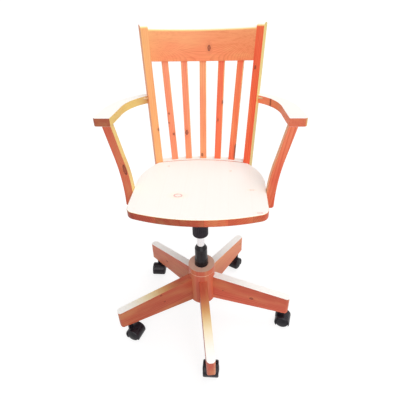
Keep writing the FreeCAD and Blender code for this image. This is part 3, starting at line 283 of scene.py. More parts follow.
across = nodes.add("ShaderNodeSeparateXYZ", {"Vector": given["Half Size"]}).outputs["X"]
nodes.feed(result["Swell"], nodes.math("MULTIPLY", nodes.math("MULTIPLY", halo, halo), across))
print("group", nodes.tree.name, len(nodes.tree.nodes), "nodes")

# %% [markdown]
# Staves. The seat is glued up from seven staves, each from another board. The group finds the
# stave that a point lies in, moves the point far away by the stave's number, so that the rings
# never run on across a joint, and gives the stave a shade of its own.

# %% staves
nodes, given, result = shader_group(
    "staves", {"Place": "vector", "Width": "value", "First": "value"},
    {"Place": "vector", "Shade": "value", "Joint": "value"})
spot = nodes.add("ShaderNodeSeparateXYZ", {"Vector": given["Place"]}).outputs
count = nodes.math("DIVIDE", nodes.math("SUBTRACT", spot["X"], given["First"]), given["Width"])
number = nodes.math("FLOOR", count)
shade = nodes.add("ShaderNodeTexWhiteNoise", {"W": number}, noise_dimensions="1D").outputs
nodes.feed(result["Shade"], shade["Value"])
shift = nodes.vector("SUBTRACT", shade["Color"], (0.5, 0.5, 0.5))
shift = nodes.vector("MULTIPLY", shift, (0.11, 0.05, 3.0))
nodes.feed(result["Place"], nodes.vector("ADD", given["Place"], shift))
to_joint = nodes.math("PINGPONG", nodes.math("SUBTRACT", count, number), 0.5)
to_joint = nodes.math("MULTIPLY", to_joint, given["Width"])
nodes.feed(result["Joint"], nodes.smooth(to_joint, 0.0003, 0.0011, 1.0, 0.0))
print("group", nodes.tree.name, len(nodes.tree.nodes), "nodes")

# %% [markdown]
# Painted light. In the photograph the light has washed out every face that looks up, almost to white, with
# a yellow band where the face turns over, and it has turned the faces towards the window pale yellow. The
# rest keep a saturated orange, redder on the shaded side. The object's own normal says which way a face
# looks, whatever the camera does, so a group reads it and gives the masks by which the pine paints this
# light into its colour: a painted white top, a painted yellow band where a face turns over, and painted
# pale yellow on the faces towards the window. It also finds the ends of a board, where the cut fibres drink
# more lacquer and turn darker.

# %% painted light and end grain
nodes, given, result = shader_group(
    "painted_light_and_end_grain", {"Normal": "vector", "Window": "vector", "Grain": "vector"},
    {"Painted Turn Light": "value", "Top": "value", "Window": "value", "End": "value"})
facing = nodes.add("ShaderNodeSeparateXYZ", {"Vector": given["Normal"]}).outputs
# Painted highlight masks: the turn and the top by how far a face looks up, and painted window light by how
# far it looks towards the window.
nodes.feed(result["Painted Turn Light"], nodes.smooth(facing["Z"], 0.3, 0.62))
nodes.feed(result["Top"], nodes.smooth(facing["Z"], 0.5, 0.85))
to_window = nodes.vector("DOT_PRODUCT", given["Normal"], given["Window"])
nodes.feed(result["Window"], nodes.smooth(to_window, 0.3, 0.9))
along = nodes.math("ABSOLUTE", nodes.vector("DOT_PRODUCT", given["Normal"], given["Grain"]))
nodes.feed(result["End"], nodes.smooth(along, 0.7, 0.95))
print("group", nodes.tree.name, len(nodes.tree.nodes), "nodes")

# %% [markdown]
# One function mixes a pine material for one board. The Mapping node moves the object's coordinates into the
# board's own frame, in which Z runs along the grain and X across the face, so the same groups fit a board
# that stands, leans or lies. A board may change its tone from one end to the other, partly its own colour
# and partly painted light and shade, and its painted highlight may grow along it, as on the legs, whose
# inner ends are left darker as painted shade from the seat. The lacquer is the shader's own roughness and a
# thin coat.

# %% the pine material
# Painted light colours: a white top where a face looks up, a yellow turn where it turns over, and a yellow
# for faces towards the window. The turn's yellow also tints the wood's random clouds, which are its own
# colour.
PAINTED_TOP_WHITE, CLOUD_AND_PAINTED_TURN_YELLOW, PAINTED_WINDOW_YELLOW = paint(254, 252, 247), paint(254, 228, 146), paint(254, 230, 142)
LATE_TINT, STREAK_TINT = (0.8, 0.55, 0.44, 1), (0.9, 0.74, 0.66, 1)
END_TINT, STAVE_TINT = (0.62, 0.45, 0.4, 1), (0.66, 0.52, 0.5, 1)
PITH, RING_WANDER = (0.05, -0.09, 0), 0.012
STREAK_SHARE, CLOUD_SHARE = 0.65, 0.16
PAINTED_WHITE_AFTER_YELLOW = 0.07
# A knot's halo, heart and edge: how strong, its colour, and its colour under the painted top light.
KNOT_LAYERS = ((0.3, (0.62, 0.12, 0.045, 1), (0.98, 0.9, 0.66, 1)),
               (0.8, (0.2, 0.04, 0.02, 1), (0.98, 0.88, 0.84, 1)),
               (0.85, (0.06, 0.015, 0.012, 1), (0.8, 0.3, 0.3, 1)))


def pine(name, board, tone, far=None, span=(-200, 200), ring=0.003, late=0.8, top=1.0, turn_painted_light=1.0,
         window=0.8, window_painted_from=(0.93, -0.05, 0.36), window_painted_tint=PAINTED_WINDOW_YELLOW, end=0.5, seat_painted_shade=None,
         across=False, knots=(), staves=None, seed=0.0):
    """A pine board's material, with painted light mixed into its colour. board is the matrix of its grain
    frame. span and the painted-shade fade are places along it, or across it where across is true, a knot is
    (across, along, half width, half length) and staves is (width, first edge), all in millimetres. The ring
    is in metres."""
    material, nodes, shader = new_material(name)
    place = nodes.add("ShaderNodeTexCoord").outputs
    mapping = nodes.add("ShaderNodeMapping", {"Vector": place["Object"], "Location": board.to_translation(),
                                              "Rotation": board.to_euler()}, vector_type="TEXTURE")
    spot = mapping.outputs["Vector"]
    axes = nodes.add("ShaderNodeSeparateXYZ", {"Vector": spot}).outputs
    knot_masks, swell = {"Halo": 0.0, "Heart": 0.0, "Edge": 0.0}, 0.0
    for across, where, half_width, half_length in knots:
        knot = nodes.add("ShaderNodeGroup", node_tree=bpy.data.node_groups["knot"])
        nodes.feed(knot.inputs["Place"], spot)
        knot.inputs["Centre"].default_value = (across / 1000, 0, where / 1000)
        knot.inputs["Half Size"].default_value = (half_width / 1000, 1, half_length / 1000)
        for mask, before in knot_masks.items():
            knot_masks[mask] = nodes.math("MAXIMUM", before, knot.outputs[mask])
        swell = nodes.math("ADD", swell, knot.outputs["Swell"])
    grain_spot, shade = spot, None
    if staves:
        glued = nodes.add("ShaderNodeGroup", node_tree=bpy.data.node_groups["staves"])
        for socket, value in (("Place", spot), ("Width", staves[0] / 1000), ("First", staves[1] / 1000)):
            nodes.feed(glued.inputs[socket], value)
        grain_spot, shade, joint = (glued.outputs[socket] for socket in ("Place", "Shade", "Joint"))
    rings = nodes.add("ShaderNodeGroup", node_tree=bpy.data.node_groups["growth_rings"])
    for socket, value in (("Place", grain_spot), ("Pith", PITH), ("Ring", ring),
                          ("Wander", RING_WANDER), ("Swell", swell), ("Seed", seed)):
        nodes.feed(rings.inputs[socket], value)
    masks = nodes.add("ShaderNodeGroup", node_tree=bpy.data.node_groups["painted_light_and_end_grain"])
    for socket, value in (("Normal", place["Normal"]), ("Window", window_painted_from),
                          ("Grain", board.to_3x3() @ Vector((0, 0, 1)))):
        nodes.feed(masks.inputs[socket], value)

    colour = tone
    if far:
        reach = nodes.smooth(axes["X" if across else "Z"], span[0] / 1000, span[1] / 1000)
        colour = nodes.mix(reach, tone, far)
    if staves:
        colour = nodes.mix(nodes.smooth(shade, 0.1, 0.9, 0.0, 0.75), colour, STAVE_TINT, "MULTIPLY")
    dark_lines = nodes.math("MULTIPLY", rings.outputs["Late Wood"], late)
    colour = nodes.mix(dark_lines, colour, LATE_TINT, "MULTIPLY")
    streaks = nodes.math("MULTIPLY", rings.outputs["Streak"], STREAK_SHARE)
    colour = nodes.mix(streaks, colour, STREAK_TINT, "MULTIPLY")
    colour = nodes.mix(nodes.smooth(rings.outputs["Cloud"], 0.4, 0.75, 0.0, CLOUD_SHARE), colour,
                       CLOUD_AND_PAINTED_TURN_YELLOW)
    colour = nodes.mix(nodes.math("MULTIPLY", masks.outputs["End"], end), colour, END_TINT, "MULTIPLY")
    # Painted light over the wood: the window's yellow on faces towards the window, a yellow band where a
    # face turns over and a white top on faces that look up. Where the fade is given, the yellow and then
    # the white grow along the board, so its inner end is left darker as painted shade.
    painted_turn_reach = painted_top_reach = 1.0
    if seat_painted_shade:
        start, stop = seat_painted_shade[0] / 1000, seat_painted_shade[1] / 1000
        painted_turn_reach = nodes.smooth(axes["Z"], start, stop)
        painted_top_reach = nodes.smooth(axes["Z"], start + PAINTED_WHITE_AFTER_YELLOW, stop + PAINTED_WHITE_AFTER_YELLOW)
    for mask, share, strength, tint, lines in ((masks.outputs["Window"], window, 1.0, window_painted_tint, 0.3),
                                               (masks.outputs["Painted Turn Light"], turn_painted_light, painted_turn_reach, CLOUD_AND_PAINTED_TURN_YELLOW, 0.1),
                                               (masks.outputs["Top"], top, painted_top_reach, PAINTED_TOP_WHITE, 0.01)):
        painted_light_tint = nodes.mix(nodes.math("MULTIPLY", rings.outputs["Late Wood"], lines), tint, tone)
        painted_light_share = nodes.math("MULTIPLY", nodes.math("MULTIPLY", mask, share), strength)
        colour = nodes.mix(painted_light_share, colour, painted_light_tint)
    # How much of the painted white top covers a face. The fibres and the knots' colours fade under this
    # painted highlight.
    painted_top_light = nodes.math("MULTIPLY", nodes.math("MULTIPLY", masks.outputs["Top"], painted_top_reach), top)
    shown = nodes.math("SUBTRACT", 1.0, painted_top_light)
    fibres = nodes.math("MULTIPLY", nodes.smooth(rings.outputs["Fibre"], 0.35, 0.75, 0.0, 0.12), shown)
    colour = nodes.mix(fibres, colour, LATE_TINT, "MULTIPLY")
    for (share, dark, faint), mask in zip(KNOT_LAYERS, knot_masks.values()):
        tint = nodes.mix(painted_top_light, dark, faint)
        colour = nodes.mix(nodes.math("MULTIPLY", mask, share), colour, tint)
    if staves:
        seam = nodes.math("MULTIPLY", joint, nodes.math("MULTIPLY_ADD", shown, 0.45, 0.05))
        colour = nodes.mix(seam, colour, END_TINT, "MULTIPLY")
    nodes.feed(shader.inputs["Base Color"], colour)
    nodes.feed(shader.inputs["Roughness"], nodes.smooth(rings.outputs["Fibre"], 0.2, 0.8, 0.36, 0.52))
    relief = nodes.math("ADD", nodes.math("MULTIPLY", rings.outputs["Fibre"], 0.5),
                        nodes.math("MULTIPLY", rings.outputs["Late Wood"], 0.5))
    bump = nodes.add("ShaderNodeBump", {"Strength": 0.35, "Distance": 0.0004, "Height": relief})
    nodes.feed(shader.inputs["Normal"], bump.outputs["Normal"])
    shader.inputs["Specular IOR Level"].default_value = 0.25
    shader.inputs["Coat Weight"].default_value = 0.05
    shader.inputs["Coat Roughness"].default_value = 0.25
    return material


print("painted_top_light", [round(part, 2) for part in PAINTED_TOP_WHITE[:3]])

# %% [markdown]
# The boards' frames. Every wooden piece has a frame that its grain follows: the stiles and
# slats lean and splay, the crest and the rail run across, the seat's staves run from front to
# back, and the legs point outward and a little down. The turns are the ones the CAD source
# uses, in millimetres and degrees.

# %% frames of the boards
SEAT_TOP, CREST_BOTTOM, CREST_TOP, STILE_LONG = 589.4, 352, 463.5, 473
SEAT_MIDDLE = SEAT_TOP - 14
BACK_Y, BACK_LEAN = 238, -14.5
STILE_X, STILE_FORWARD, STILE_SPREAD, STILE_TOE = 165, -35, 32, -24
SLAT_WIDE, SLAT_THICK, SLAT_TENON = 24, 11, 14
FOOT_BOW, HEAD_BOW, HEAD_BACK = 640, 467, 7 + 5.5
LEG_COUNT, FIRST_LEG, LEG_MIDDLE, LEG_HEIGHT, LEG_DROOP = 5, -81.5, 197, 131, 8.5
ARM_PLACE, ARM_TURN = (300, 140, 811.5), 24
POST_PLACE, POST_LEAN, POST_SPLAY = (262, 52, 698), -15.5, 13
RAIL_Y, HUB_HEIGHT = 240, 179


def move(x=0, y=0, z=0):
    return Matrix.Translation((x / 1000, y / 1000, z / 1000))


def turn(axis, angle):
    return Matrix.Rotation(radians(angle), 4, axis)


LEAN = move(0, BACK_Y, SEAT_TOP) @ turn("X", BACK_LEAN)


def slope(rise, run):
    return degrees(atan(rise / run))


def stile_frame(sign):
    return (LEAN @ move(STILE_X * sign, STILE_FORWARD)
            @ turn("Y", sign * slope(STILE_SPREAD, STILE_LONG)) @ turn("Z", STILE_TOE * sign))


def slat_frame(side, foot, head, toe):
    """The middle of a slat's front at its foot. The feet stand on the rail's curve and the heads
    meet the crest's."""
    forward = foot ** 2 / (2 * FOOT_BOW)
    rise = HEAD_BACK - head ** 2 / (2 * HEAD_BOW) + forward
    return (LEAN @ move(side * foot, -forward) @ turn("Y", side * slope(head - foot, CREST_BOTTOM))
            @ turn("X", -slope(rise, CREST_BOTTOM)) @ turn("Z", -side * toe))


def leg_frame(number):
    return (turn("Z", FIRST_LEG + number * 360 / LEG_COUNT) @ move(LEG_MIDDLE, 0, LEG_HEIGHT)
            @ turn("Y", 90 + LEG_DROOP))


def arm_frame(sign):
    x, y, z = ARM_PLACE
    return move(x * sign, y, z) @ turn("Z", ARM_TURN * sign) @ turn("X", -90)


def post_frame(sign):
    x, y, z = POST_PLACE
    return move(x * sign, y, z) @ turn("X", POST_LEAN) @ turn("Y", POST_SPLAY * sign)


SLATS = {"slat_1": (-1, 108, 134, 12.5), "slat_2": (-1, 55, 67, 6.5), "slat_3": (1, 0, 0, 0),
         "slat_4": (1, 55, 67, 6.5), "slat_5": (1, 108, 134, 12.5)}
BOARDS = {"crest_rail": LEAN @ move(0, 7, (CREST_BOTTOM + CREST_TOP) / 2) @ turn("Y", 90),
          "back_foot_rail": move(0, RAIL_Y, SEAT_MIDDLE) @ turn("Y", 90),
          "seat_panel": move(0, 0, SEAT_TOP) @ turn("X", -90),
          "hub": move(0, 0, HUB_HEIGHT)}
for side, sign in (("left", -1), ("right", 1)):
    BOARDS["stile_" + side] = stile_frame(sign)
    BOARDS["arm_" + side] = arm_frame(sign)
    BOARDS["arm_post_" + side] = post_frame(sign)
BOARDS |= {name: slat_frame(*slat) for name, slat in SLATS.items()}
BOARDS |= {f"leg_{number + 1}": leg_frame(number) for number in range(LEG_COUNT)}
print("boards", len(BOARDS))

# %% [markdown]
# Eased edges. A CAD board has knife-sharp edges and its mesh is loose triangles, so a copy is
# joined up, its flat faces are made whole again, and the long outer edges get a bevel weight.
# The Bevel modifier then rounds those only, and the edges of bores and mortises stay crisp.
# The copy replaces the CAD node and rides on the same body.

# %% dressing a piece
NODE_BODY = {node: body for body, members in frame["record"]["behaviour"]["bodies"].items()
             for node in members}
SHARP, FLAT = radians(32), radians(0.3)


def joined(node):
    """A copy of a node's mesh with its triangles joined and its flat faces whole."""
    shape = bmesh.new()
    shape.from_mesh(frame["nodes"][node].data)
    bmesh.ops.remove_doubles(shape, verts=shape.verts, dist=1e-5)
    bmesh.ops.dissolve_limit(shape, angle_limit=FLAT, verts=shape.verts, edges=shape.edges)
    return shape


def outer_edges(shape, small):
    """The outward edges that turn sharply, leaving out rings smaller than small, such as bores."""
    sharp = {edge for edge in shape.edges
             if edge.is_manifold and edge.is_convex and edge.calc_face_angle() > SHARP}
    chosen = set()
    while sharp:
        ring, front = set(), [sharp.pop()]
        while front:
            edge = front.pop()
            ring.add(edge)
            beside = {near for corner in edge.verts for near in corner.link_edges} & sharp
            sharp -= beside
            front += beside
        corners = [corner.co for edge in ring for corner in edge.verts]
        reach = max(max(co[axis] for co in corners) - min(co[axis] for co in corners) for axis in range(3))
        if reach > small:
            chosen |= ring
    return chosen


def stand_in(piece, slot, *nodes):
    """The piece rides on the nodes' body and hides them. The slot is not used."""
    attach(piece, NODE_BODY[nodes[0]])
    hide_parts(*nodes)
    return piece


def dress(node, material, slot, round_over=0.0, small=0.045):
    """A finished copy of a CAD node with eased edges."""
    shape = joined(node)
    eased = outer_edges(shape, small) if round_over else set()
    weight = shape.edges.layers.float.new("bevel_weight_edge")
    for edge in shape.edges:
        edge[weight] = 1.0 if edge in eased else 0.0
        edge.smooth = edge in eased or not edge.is_manifold or edge.calc_face_angle() < SHARP
    for face in shape.faces:
        face.smooth = True
    mesh = bpy.data.meshes.new(node + "_dressed")
    shape.to_mesh(mesh)
    shape.free()
    piece = bpy.data.objects.new(node + "_dressed", mesh)
    scene.collection.objects.link(piece)
    if eased:
        bevel = piece.modifiers.new("eased edges", "BEVEL")
        bevel.limit_method, bevel.width, bevel.segments = "WEIGHT", round_over, 3
        bevel.use_clamp_overlap = False
    piece.modifiers.new("even shading", "WEIGHTED_NORMAL").keep_sharp = True
    mesh.materials.append(material)
    return stand_in(piece, slot, node)


print("nodes to dress", len(NODE_BODY))

# %% [markdown]
# The tones of the boards, read from the photograph, are partly the wood's own colour and partly painted
# light and shade: the left of the back is a lighter amber and the right a redder orange, the posts and legs
# are brick, darker partly as painted shade, a tone that changes along a board paints light falling off
# along it, the hub keeps little of the painted top light as painted shade under the seat, and the front leg
# fades to white at its tip, a painted highlight.

# %% tones
AMBER, SALMON = paint(253, 178, 124), paint(252, 152, 114)
ORANGE, BRICK = paint(251, 120, 82), paint(204, 96, 72)
# In these finishes the window share and its tint, and the top and turn shares, set painted light; a second
# tone along a board is partly painted light and shade.
FINISHES = {
    "crest_rail": dict(tone=paint(252, 184, 128), far=paint(251, 128, 84), span=(-190, 150), late=0.5,
                       ring=0.0024, end=0.0),
    "stile_left": dict(tone=paint(252, 158, 110), far=paint(253, 182, 128), span=(60, 300)),
    "stile_right": dict(tone=paint(250, 108, 70), far=paint(248, 118, 76), span=(0, 400), window=1.0),
    "arm_left": dict(tone=paint(184, 98, 74), window=1.0, end=0.35),
    "arm_right": dict(tone=paint(255, 146, 112), far=paint(180, 76, 56), span=(-40, 150)),
    "arm_post_left": dict(tone=BRICK, window=1.0, end=0.3),
    "arm_post_right": dict(tone=paint(226, 100, 72), far=paint(240, 128, 92), span=(-100, 80),
                           window_painted_from=(-0.9, -0.1, 0.3), window_painted_tint=paint(253, 196, 140), late=0.9, ring=0.006),
    "back_foot_rail": dict(tone=SALMON, end=0.0),
    "seat_panel": dict(tone=paint(186, 84, 62), far=paint(250, 126, 88), across=True, span=(-230, 230),
                       late=0.9, ring=0.007, end=0.2, window=0.4, window_painted_tint=ORANGE, staves=(74, -271)),
    "hub": dict(tone=paint(204, 104, 80), top=0.3, turn_painted_light=0.2, window=0.6, window_painted_tint=ORANGE, end=0.0,
                late=0.35),
    # The fade on the front and left legs leaves their inner ends without the painted top light: painted
    # shade of the seat.
    "leg_1": dict(tone=BRICK, seat_painted_shade=(-120, 60), window=0.4, window_painted_tint=AMBER, end=0.1),
    "leg_2": dict(tone=paint(188, 84, 62), far=paint(220, 110, 84), span=(-140, 80), window=0.3,
                  window_painted_tint=AMBER, end=0.1),
    "leg_3": dict(tone=paint(255, 176, 124), far=paint(246, 124, 88), span=(-100, 60), window=0.3,
                  window_painted_tint=AMBER, end=0.1),
    "leg_4": dict(tone=paint(216, 122, 94), window=0.3, window_painted_tint=AMBER, end=0.1),
    "leg_5": dict(tone=paint(190, 90, 66), seat_painted_shade=(-130, 60), window=0.2, window_painted_tint=AMBER, end=0.1),
    "slat_1": dict(tone=SALMON), "slat_2": dict(tone=SALMON), "slat_3": dict(tone=paint(253, 158, 112)),
    "slat_4": dict(tone=ORANGE), "slat_5": dict(tone=ORANGE)}
print("tones", len(FINISHES))

# %% [markdown]
# The knots of the photograph, board by board: where each lies across and along the board's own
# frame, and its half width and half length.

# %% places of the knots
KNOTS = {
    "slat_1": [(-5, 172, 2.2, 3.5), (-9, 138, 1.8, 3), (5, 95, 3, 4.5)],
    "slat_2": [(-3, 100, 5, 8)],
    "slat_3": [(-4, 14, 3.6, 6)],
    "slat_4": [(10, 211, 2, 6), (-4, 146, 1.8, 5)],
    "slat_5": [(10.5, 30, 2.5, 26)],
    "crest_rail": [(13, 23, 9, 5)],
    "stile_left": [(9.6, 115, 2.6, 5)],
    "stile_right": [(-4, 329, 3, 6)],
    "arm_right": [(-17, 109, 3, 3)],
    "arm_post_left": [(7, -47, 5, 16)],
    "leg_2": [(5.6, 4, 5, 6.5), (3, -111, 2, 2.4)],
    "leg_3": [(-12, 117, 2, 3.4)],
    "leg_4": [(4, 26, 3, 6)],
    "leg_5": [(-41, -28, 3.6, 4.2), (0, -33, 2.8, 3.6)],
    "seat_panel": [(-68, -24, 13, 9), (176, 15, 7, 2.5), (194, -113, 8, 3), (105, 142, 3, 3),
                   (-126, 174, 3, 3), (158, -149, 3, 4)]}
SEED_STEP = 0.37
PINE = {name: pine("pine_" + name, board, knots=KNOTS.get(name, ()), seed=number * SEED_STEP,
                   **FINISHES[name])
        for number, (name, board) in enumerate(BOARDS.items())}
print("materials", len(PINE))

# %% [markdown]
# The wood that keeps its CAD outline: legs, hub, seat, rails, stiles, arms and posts. Most get
# the same eased edge. The curved rails and the hub get a finer one, and the seat has none,
# because its edges are already rounded in the CAD.

# %% wooden pieces
USUAL_EASE = 0.0022
EASED = {"crest_rail": 0.0015, "back_foot_rail": 0.0012, "hub": 0.0015, "seat_panel": 0}
for name in BOARDS:
    if name not in SLATS:
        piece = dress(name, PINE[name], "pine", EASED.get(name, USUAL_EASE))
        print(piece.name, len(piece.data.vertices))

# %% [markdown]
# Geometry Nodes make what repeats. A helper adds a tree with named inputs, and another puts it
# on an object, sets the inputs by their identifiers and turns the result into a plain mesh.

# %% geometry helpers


def geometry_tree(name, inputs):
    """An empty geometry tree with named inputs. Returns its nodes and its two ends."""
    tree = bpy.data.node_groups.new(name, "GeometryNodeTree")
    kinds = {"shape": "NodeSocketGeometry", "size": "NodeSocketFloat", "vector": "NodeSocketVector",
             "object": "NodeSocketObject", "material": "NodeSocketMaterial"}
    for socket, kind in inputs.items():
        tree.interface.new_socket(socket, in_out="INPUT", socket_type=kinds[kind])
    tree.interface.new_socket("Shape", in_out="OUTPUT", socket_type="NodeSocketGeometry")
    nodes = Nodes(tree)
    return nodes, nodes.add("NodeGroupInput").outputs, nodes.add("NodeGroupOutput").inputs


def finish_tree(nodes, shape, material, out):
    """The last two nodes of every tree: real geometry and its material."""
    real = nodes.add("GeometryNodeRealizeInstances", {"Geometry": shape})
    painted = nodes.add("GeometryNodeSetMaterial", {"Geometry": real.outputs[0], "Material": material})
    nodes.feed(out["Shape"], painted.outputs[0])


def grow(name, tree, mesh, values):
    """Runs a tree on a mesh and leaves a plain mesh object."""
    piece = bpy.data.objects.new(name, mesh)
    scene.collection.objects.link(piece)
    modifier = piece.modifiers.new("shape", "NODES")
    modifier.node_group = tree
    keys = {item.name: item.identifier for item in tree.interface.items_tree if item.in_out == "INPUT"}
    for socket, value in values.items():
        modifier[keys[socket]] = value
    bpy.context.view_layer.update()
    shape = bpy.data.meshes.new_from_object(piece.evaluated_get(bpy.context.evaluated_depsgraph_get()))
    piece.modifiers.clear()
    piece.data = shape
    return piece


print("helpers ready")

# %% [markdown]
# The slats. All five are the same straight bar with rounded edges, and only their places and
# turns differ, so one tree draws the bar: a rectangle with filleted corners is filled, pushed
# out to the bar's length and moved into the slat's frame. Its ends sit in the two rails.

# %% slats
nodes, given, out = geometry_tree("slat", {"Wide": "size", "Thick": "size", "Long": "size", "Tenon": "size",
                                           "Corner": "size", "Place": "vector", "Turns": "vector",
                                           "Material": "material"})
section = nodes.add("GeometryNodeCurvePrimitiveQuadrilateral",
                    {"Width": given["Wide"], "Height": given["Thick"]})
rounded = nodes.add("GeometryNodeFilletCurve",
                    {"Curve": section.outputs[0], "Radius": given["Corner"], "Count": 4}, mode="POLY")
face = nodes.add("GeometryNodeFillCurve", {"Curve": rounded.outputs[0]}, mode="NGONS").outputs[0]
bar = nodes.add("GeometryNodeExtrudeMesh",
                {"Mesh": face, "Offset": (0, 0, 1), "Offset Scale": given["Long"]})
closed = nodes.add("GeometryNodeJoinGeometry")
for part in (bar.outputs[0], nodes.add("GeometryNodeFlipFaces", {"Mesh": face}).outputs[0]):
    nodes.feed(closed.inputs[0], part)
whole = nodes.add("GeometryNodeMergeByDistance", {"Geometry": closed.outputs[0], "Distance": 0.00001})
lift = nodes.add("ShaderNodeCombineXYZ", {"Y": nodes.math("MULTIPLY", given["Thick"], 0.5),
                                          "Z": nodes.math("MULTIPLY", given["Tenon"], -1.0)})
centred = nodes.add("GeometryNodeTransform", {"Geometry": whole.outputs[0], "Translation": lift.outputs[0]})
placed = nodes.add("GeometryNodeTransform", {"Geometry": centred.outputs[0], "Translation": given["Place"],
                                             "Rotation": given["Turns"]})
finish_tree(nodes, placed.outputs[0], given["Material"], out)

SLAT_CORNER = 0.0018
for name in SLATS:
    board = BOARDS[name]
    piece = grow(name + "_bar", nodes.tree, bpy.data.meshes.new(name + "_bar"), {
        "Wide": SLAT_WIDE / 1000, "Thick": SLAT_THICK / 1000, "Tenon": SLAT_TENON / 1000,
        "Long": (CREST_BOTTOM + 2 * SLAT_TENON) / 1000, "Corner": SLAT_CORNER,
        "Place": board.to_translation(), "Turns": board.to_euler(), "Material": PINE[name]})
    piece.data.shade_smooth()
    piece.modifiers.new("even shading", "WEIGHTED_NORMAL").keep_sharp = True
    stand_in(piece, "pine", name)
    print(piece.name, len(piece.data.vertices))

# %% [markdown]
# Moulded plastic and powder coat. Neither is a flat black: a mould leaves a fine grain, the
# colour is a little uneven, and dust and scuffs make the surface rougher in patches. One group
# gives the three masks and each black finish uses them with its own scale.

# %% moulded finish
nodes, given, result = shader_group("moulded", {"Place": "vector", "Grain Scale": "value"},
                                    {"Grain": "value", "Uneven": "value", "Scuff": "value"})
nodes.feed(result["Grain"], nodes.noise(given["Place"], given["Grain Scale"], 2.0, 0.6))
nodes.feed(result["Uneven"], nodes.noise(given["Place"], 60.0, 3.0))
scratch = nodes.noise(nodes.vector("MULTIPLY", given["Place"], (90, 900, 300)), 1.0, 2.0)
nodes.feed(result["Scuff"], nodes.smooth(scratch, 0.62, 0.78))
print("group", nodes.tree.name, len(nodes.tree.nodes), "nodes")


def black(name, tone, rough, grain_scale, relief, coat=0.0):
    """A black plastic or painted finish. The relief is the depth of its grain, in metres."""
    material, nodes, shader = new_material(name)
    place = nodes.add("ShaderNodeTexCoord").outputs["Object"]
    masks = nodes.add("ShaderNodeGroup", node_tree=bpy.data.node_groups["moulded"])
    nodes.feed(masks.inputs["Place"], place)
    masks.inputs["Grain Scale"].default_value = grain_scale
    worn = tuple(part * 1.8 + 0.01 for part in tone[:3]) + (1,)
    colour = nodes.mix(nodes.smooth(masks.outputs["Uneven"], 0.35, 0.7, 0.0, 0.5), tone, worn)
    colour = nodes.mix(nodes.math("MULTIPLY", masks.outputs["Scuff"], 0.35), colour, worn)
    nodes.feed(shader.inputs["Base Color"], colour)
    patchy = nodes.smooth(masks.outputs["Uneven"], 0.3, 0.7, rough - 0.05, rough + 0.08)
    scuffed = nodes.math("MULTIPLY", masks.outputs["Scuff"], 0.12)
    nodes.feed(shader.inputs["Roughness"], nodes.math("ADD", patchy, scuffed))
    bump = nodes.add("ShaderNodeBump", {"Strength": 0.3, "Distance": relief,
                                        "Height": masks.outputs["Grain"]})
    nodes.feed(shader.inputs["Normal"], bump.outputs["Normal"])
    shader.inputs["Specular IOR Level"].default_value = 0.2
    shader.inputs["Coat Weight"].default_value = coat
    shader.inputs["Coat Roughness"].default_value = 0.2
    return material


COVER_BLACK = black("cover_plastic", paint(40, 34, 41), 0.5, 2600.0, 0.0003)
TUBE_BLACK = black("tube_paint", paint(18, 14, 18), 0.32, 1500.0, 0.00012, 0.12)
PLATE_BLACK = black("plate_paint", paint(36, 33, 38), 0.48, 1800.0, 0.0002)
HOOD_BLACK = black("hood_plastic", paint(27, 22, 29), 0.3, 900.0, 0.00008, 0.15)
WHEEL_BLACK = black("wheel_plastic", paint(21, 18, 23), 0.42, 1600.0, 0.00015)
print("cover", COVER_BLACK.name, "tube", TUBE_BLACK.name)

# %% [markdown]
# Metal. The chromed cylinder is a clean mirror with the faint rings that grinding leaves round
# it. The bolts, sockets and pins are zinc plated: greyer, cloudy and a little rough.

# %% metal finishes


def metal(name, tone, rough, stretch, cloud):
    """A metal finish with fine lines, set by the stretch, and a cloudy colour."""
    material, nodes, shader = new_material(name)
    place = nodes.add("ShaderNodeTexCoord").outputs["Object"]
    lines = nodes.noise(nodes.vector("MULTIPLY", place, stretch), 1.0, 2.0)
    patches = nodes.noise(place, 180.0, 3.0)
    duller = tuple(part * 0.72 for part in tone[:3]) + (1,)
    cloudy = nodes.smooth(patches, 0.35, 0.7, 0.0, cloud)
    nodes.feed(shader.inputs["Base Color"], nodes.mix(cloudy, tone, duller))
    nodes.feed(shader.inputs["Roughness"], nodes.smooth(lines, 0.2, 0.8, rough * 0.7, rough * 1.3))
    nodes.feed(shader.inputs["Metallic"], nodes.smooth(patches, 0.0, 1.0, 0.96, 1.0))
    bump = nodes.add("ShaderNodeBump", {"Strength": 0.1, "Distance": 0.00002, "Height": lines})
    nodes.feed(shader.inputs["Normal"], bump.outputs["Normal"])
    return material


CHROME = metal("ground_chrome", paint(232, 228, 230), 0.09, (20, 20, 3000), 0.2)
ZINC = metal("zinc_plate", paint(196, 194, 198), 0.34, (700, 700, 700), 0.6)
print("metals", CHROME.name, ZINC.name)

# %% [markdown]
# Raw beech for the dowels, which hide in their holes: pale, with short dark flecks along the
# grain. It needs no ring figure, because a dowel is thinner than most rings are wide.

# %% beech
BEECH, nodes, shader = new_material("raw_beech")
place = nodes.add("ShaderNodeTexCoord").outputs["Object"]
flecks = nodes.smooth(nodes.noise(nodes.vector("MULTIPLY", place, (900, 900, 160)), 1.0, 2.0), 0.55, 0.7)
nodes.feed(shader.inputs["Base Color"], nodes.mix(nodes.math("MULTIPLY", flecks, 0.5), paint(226, 190, 146),
                                                  paint(186, 132, 88)))
nodes.feed(shader.inputs["Roughness"], nodes.smooth(flecks, 0.0, 1.0, 0.6, 0.75))
print(BEECH.name)

# %% [markdown]
# The black pieces and the metal. Their outlines are right as they are, so each gets smooth
# shading and a small bevel that catches the light along its edges. Pieces that nobody sees,
# inside the hub and the lift, keep their CAD mesh and only take the finish.

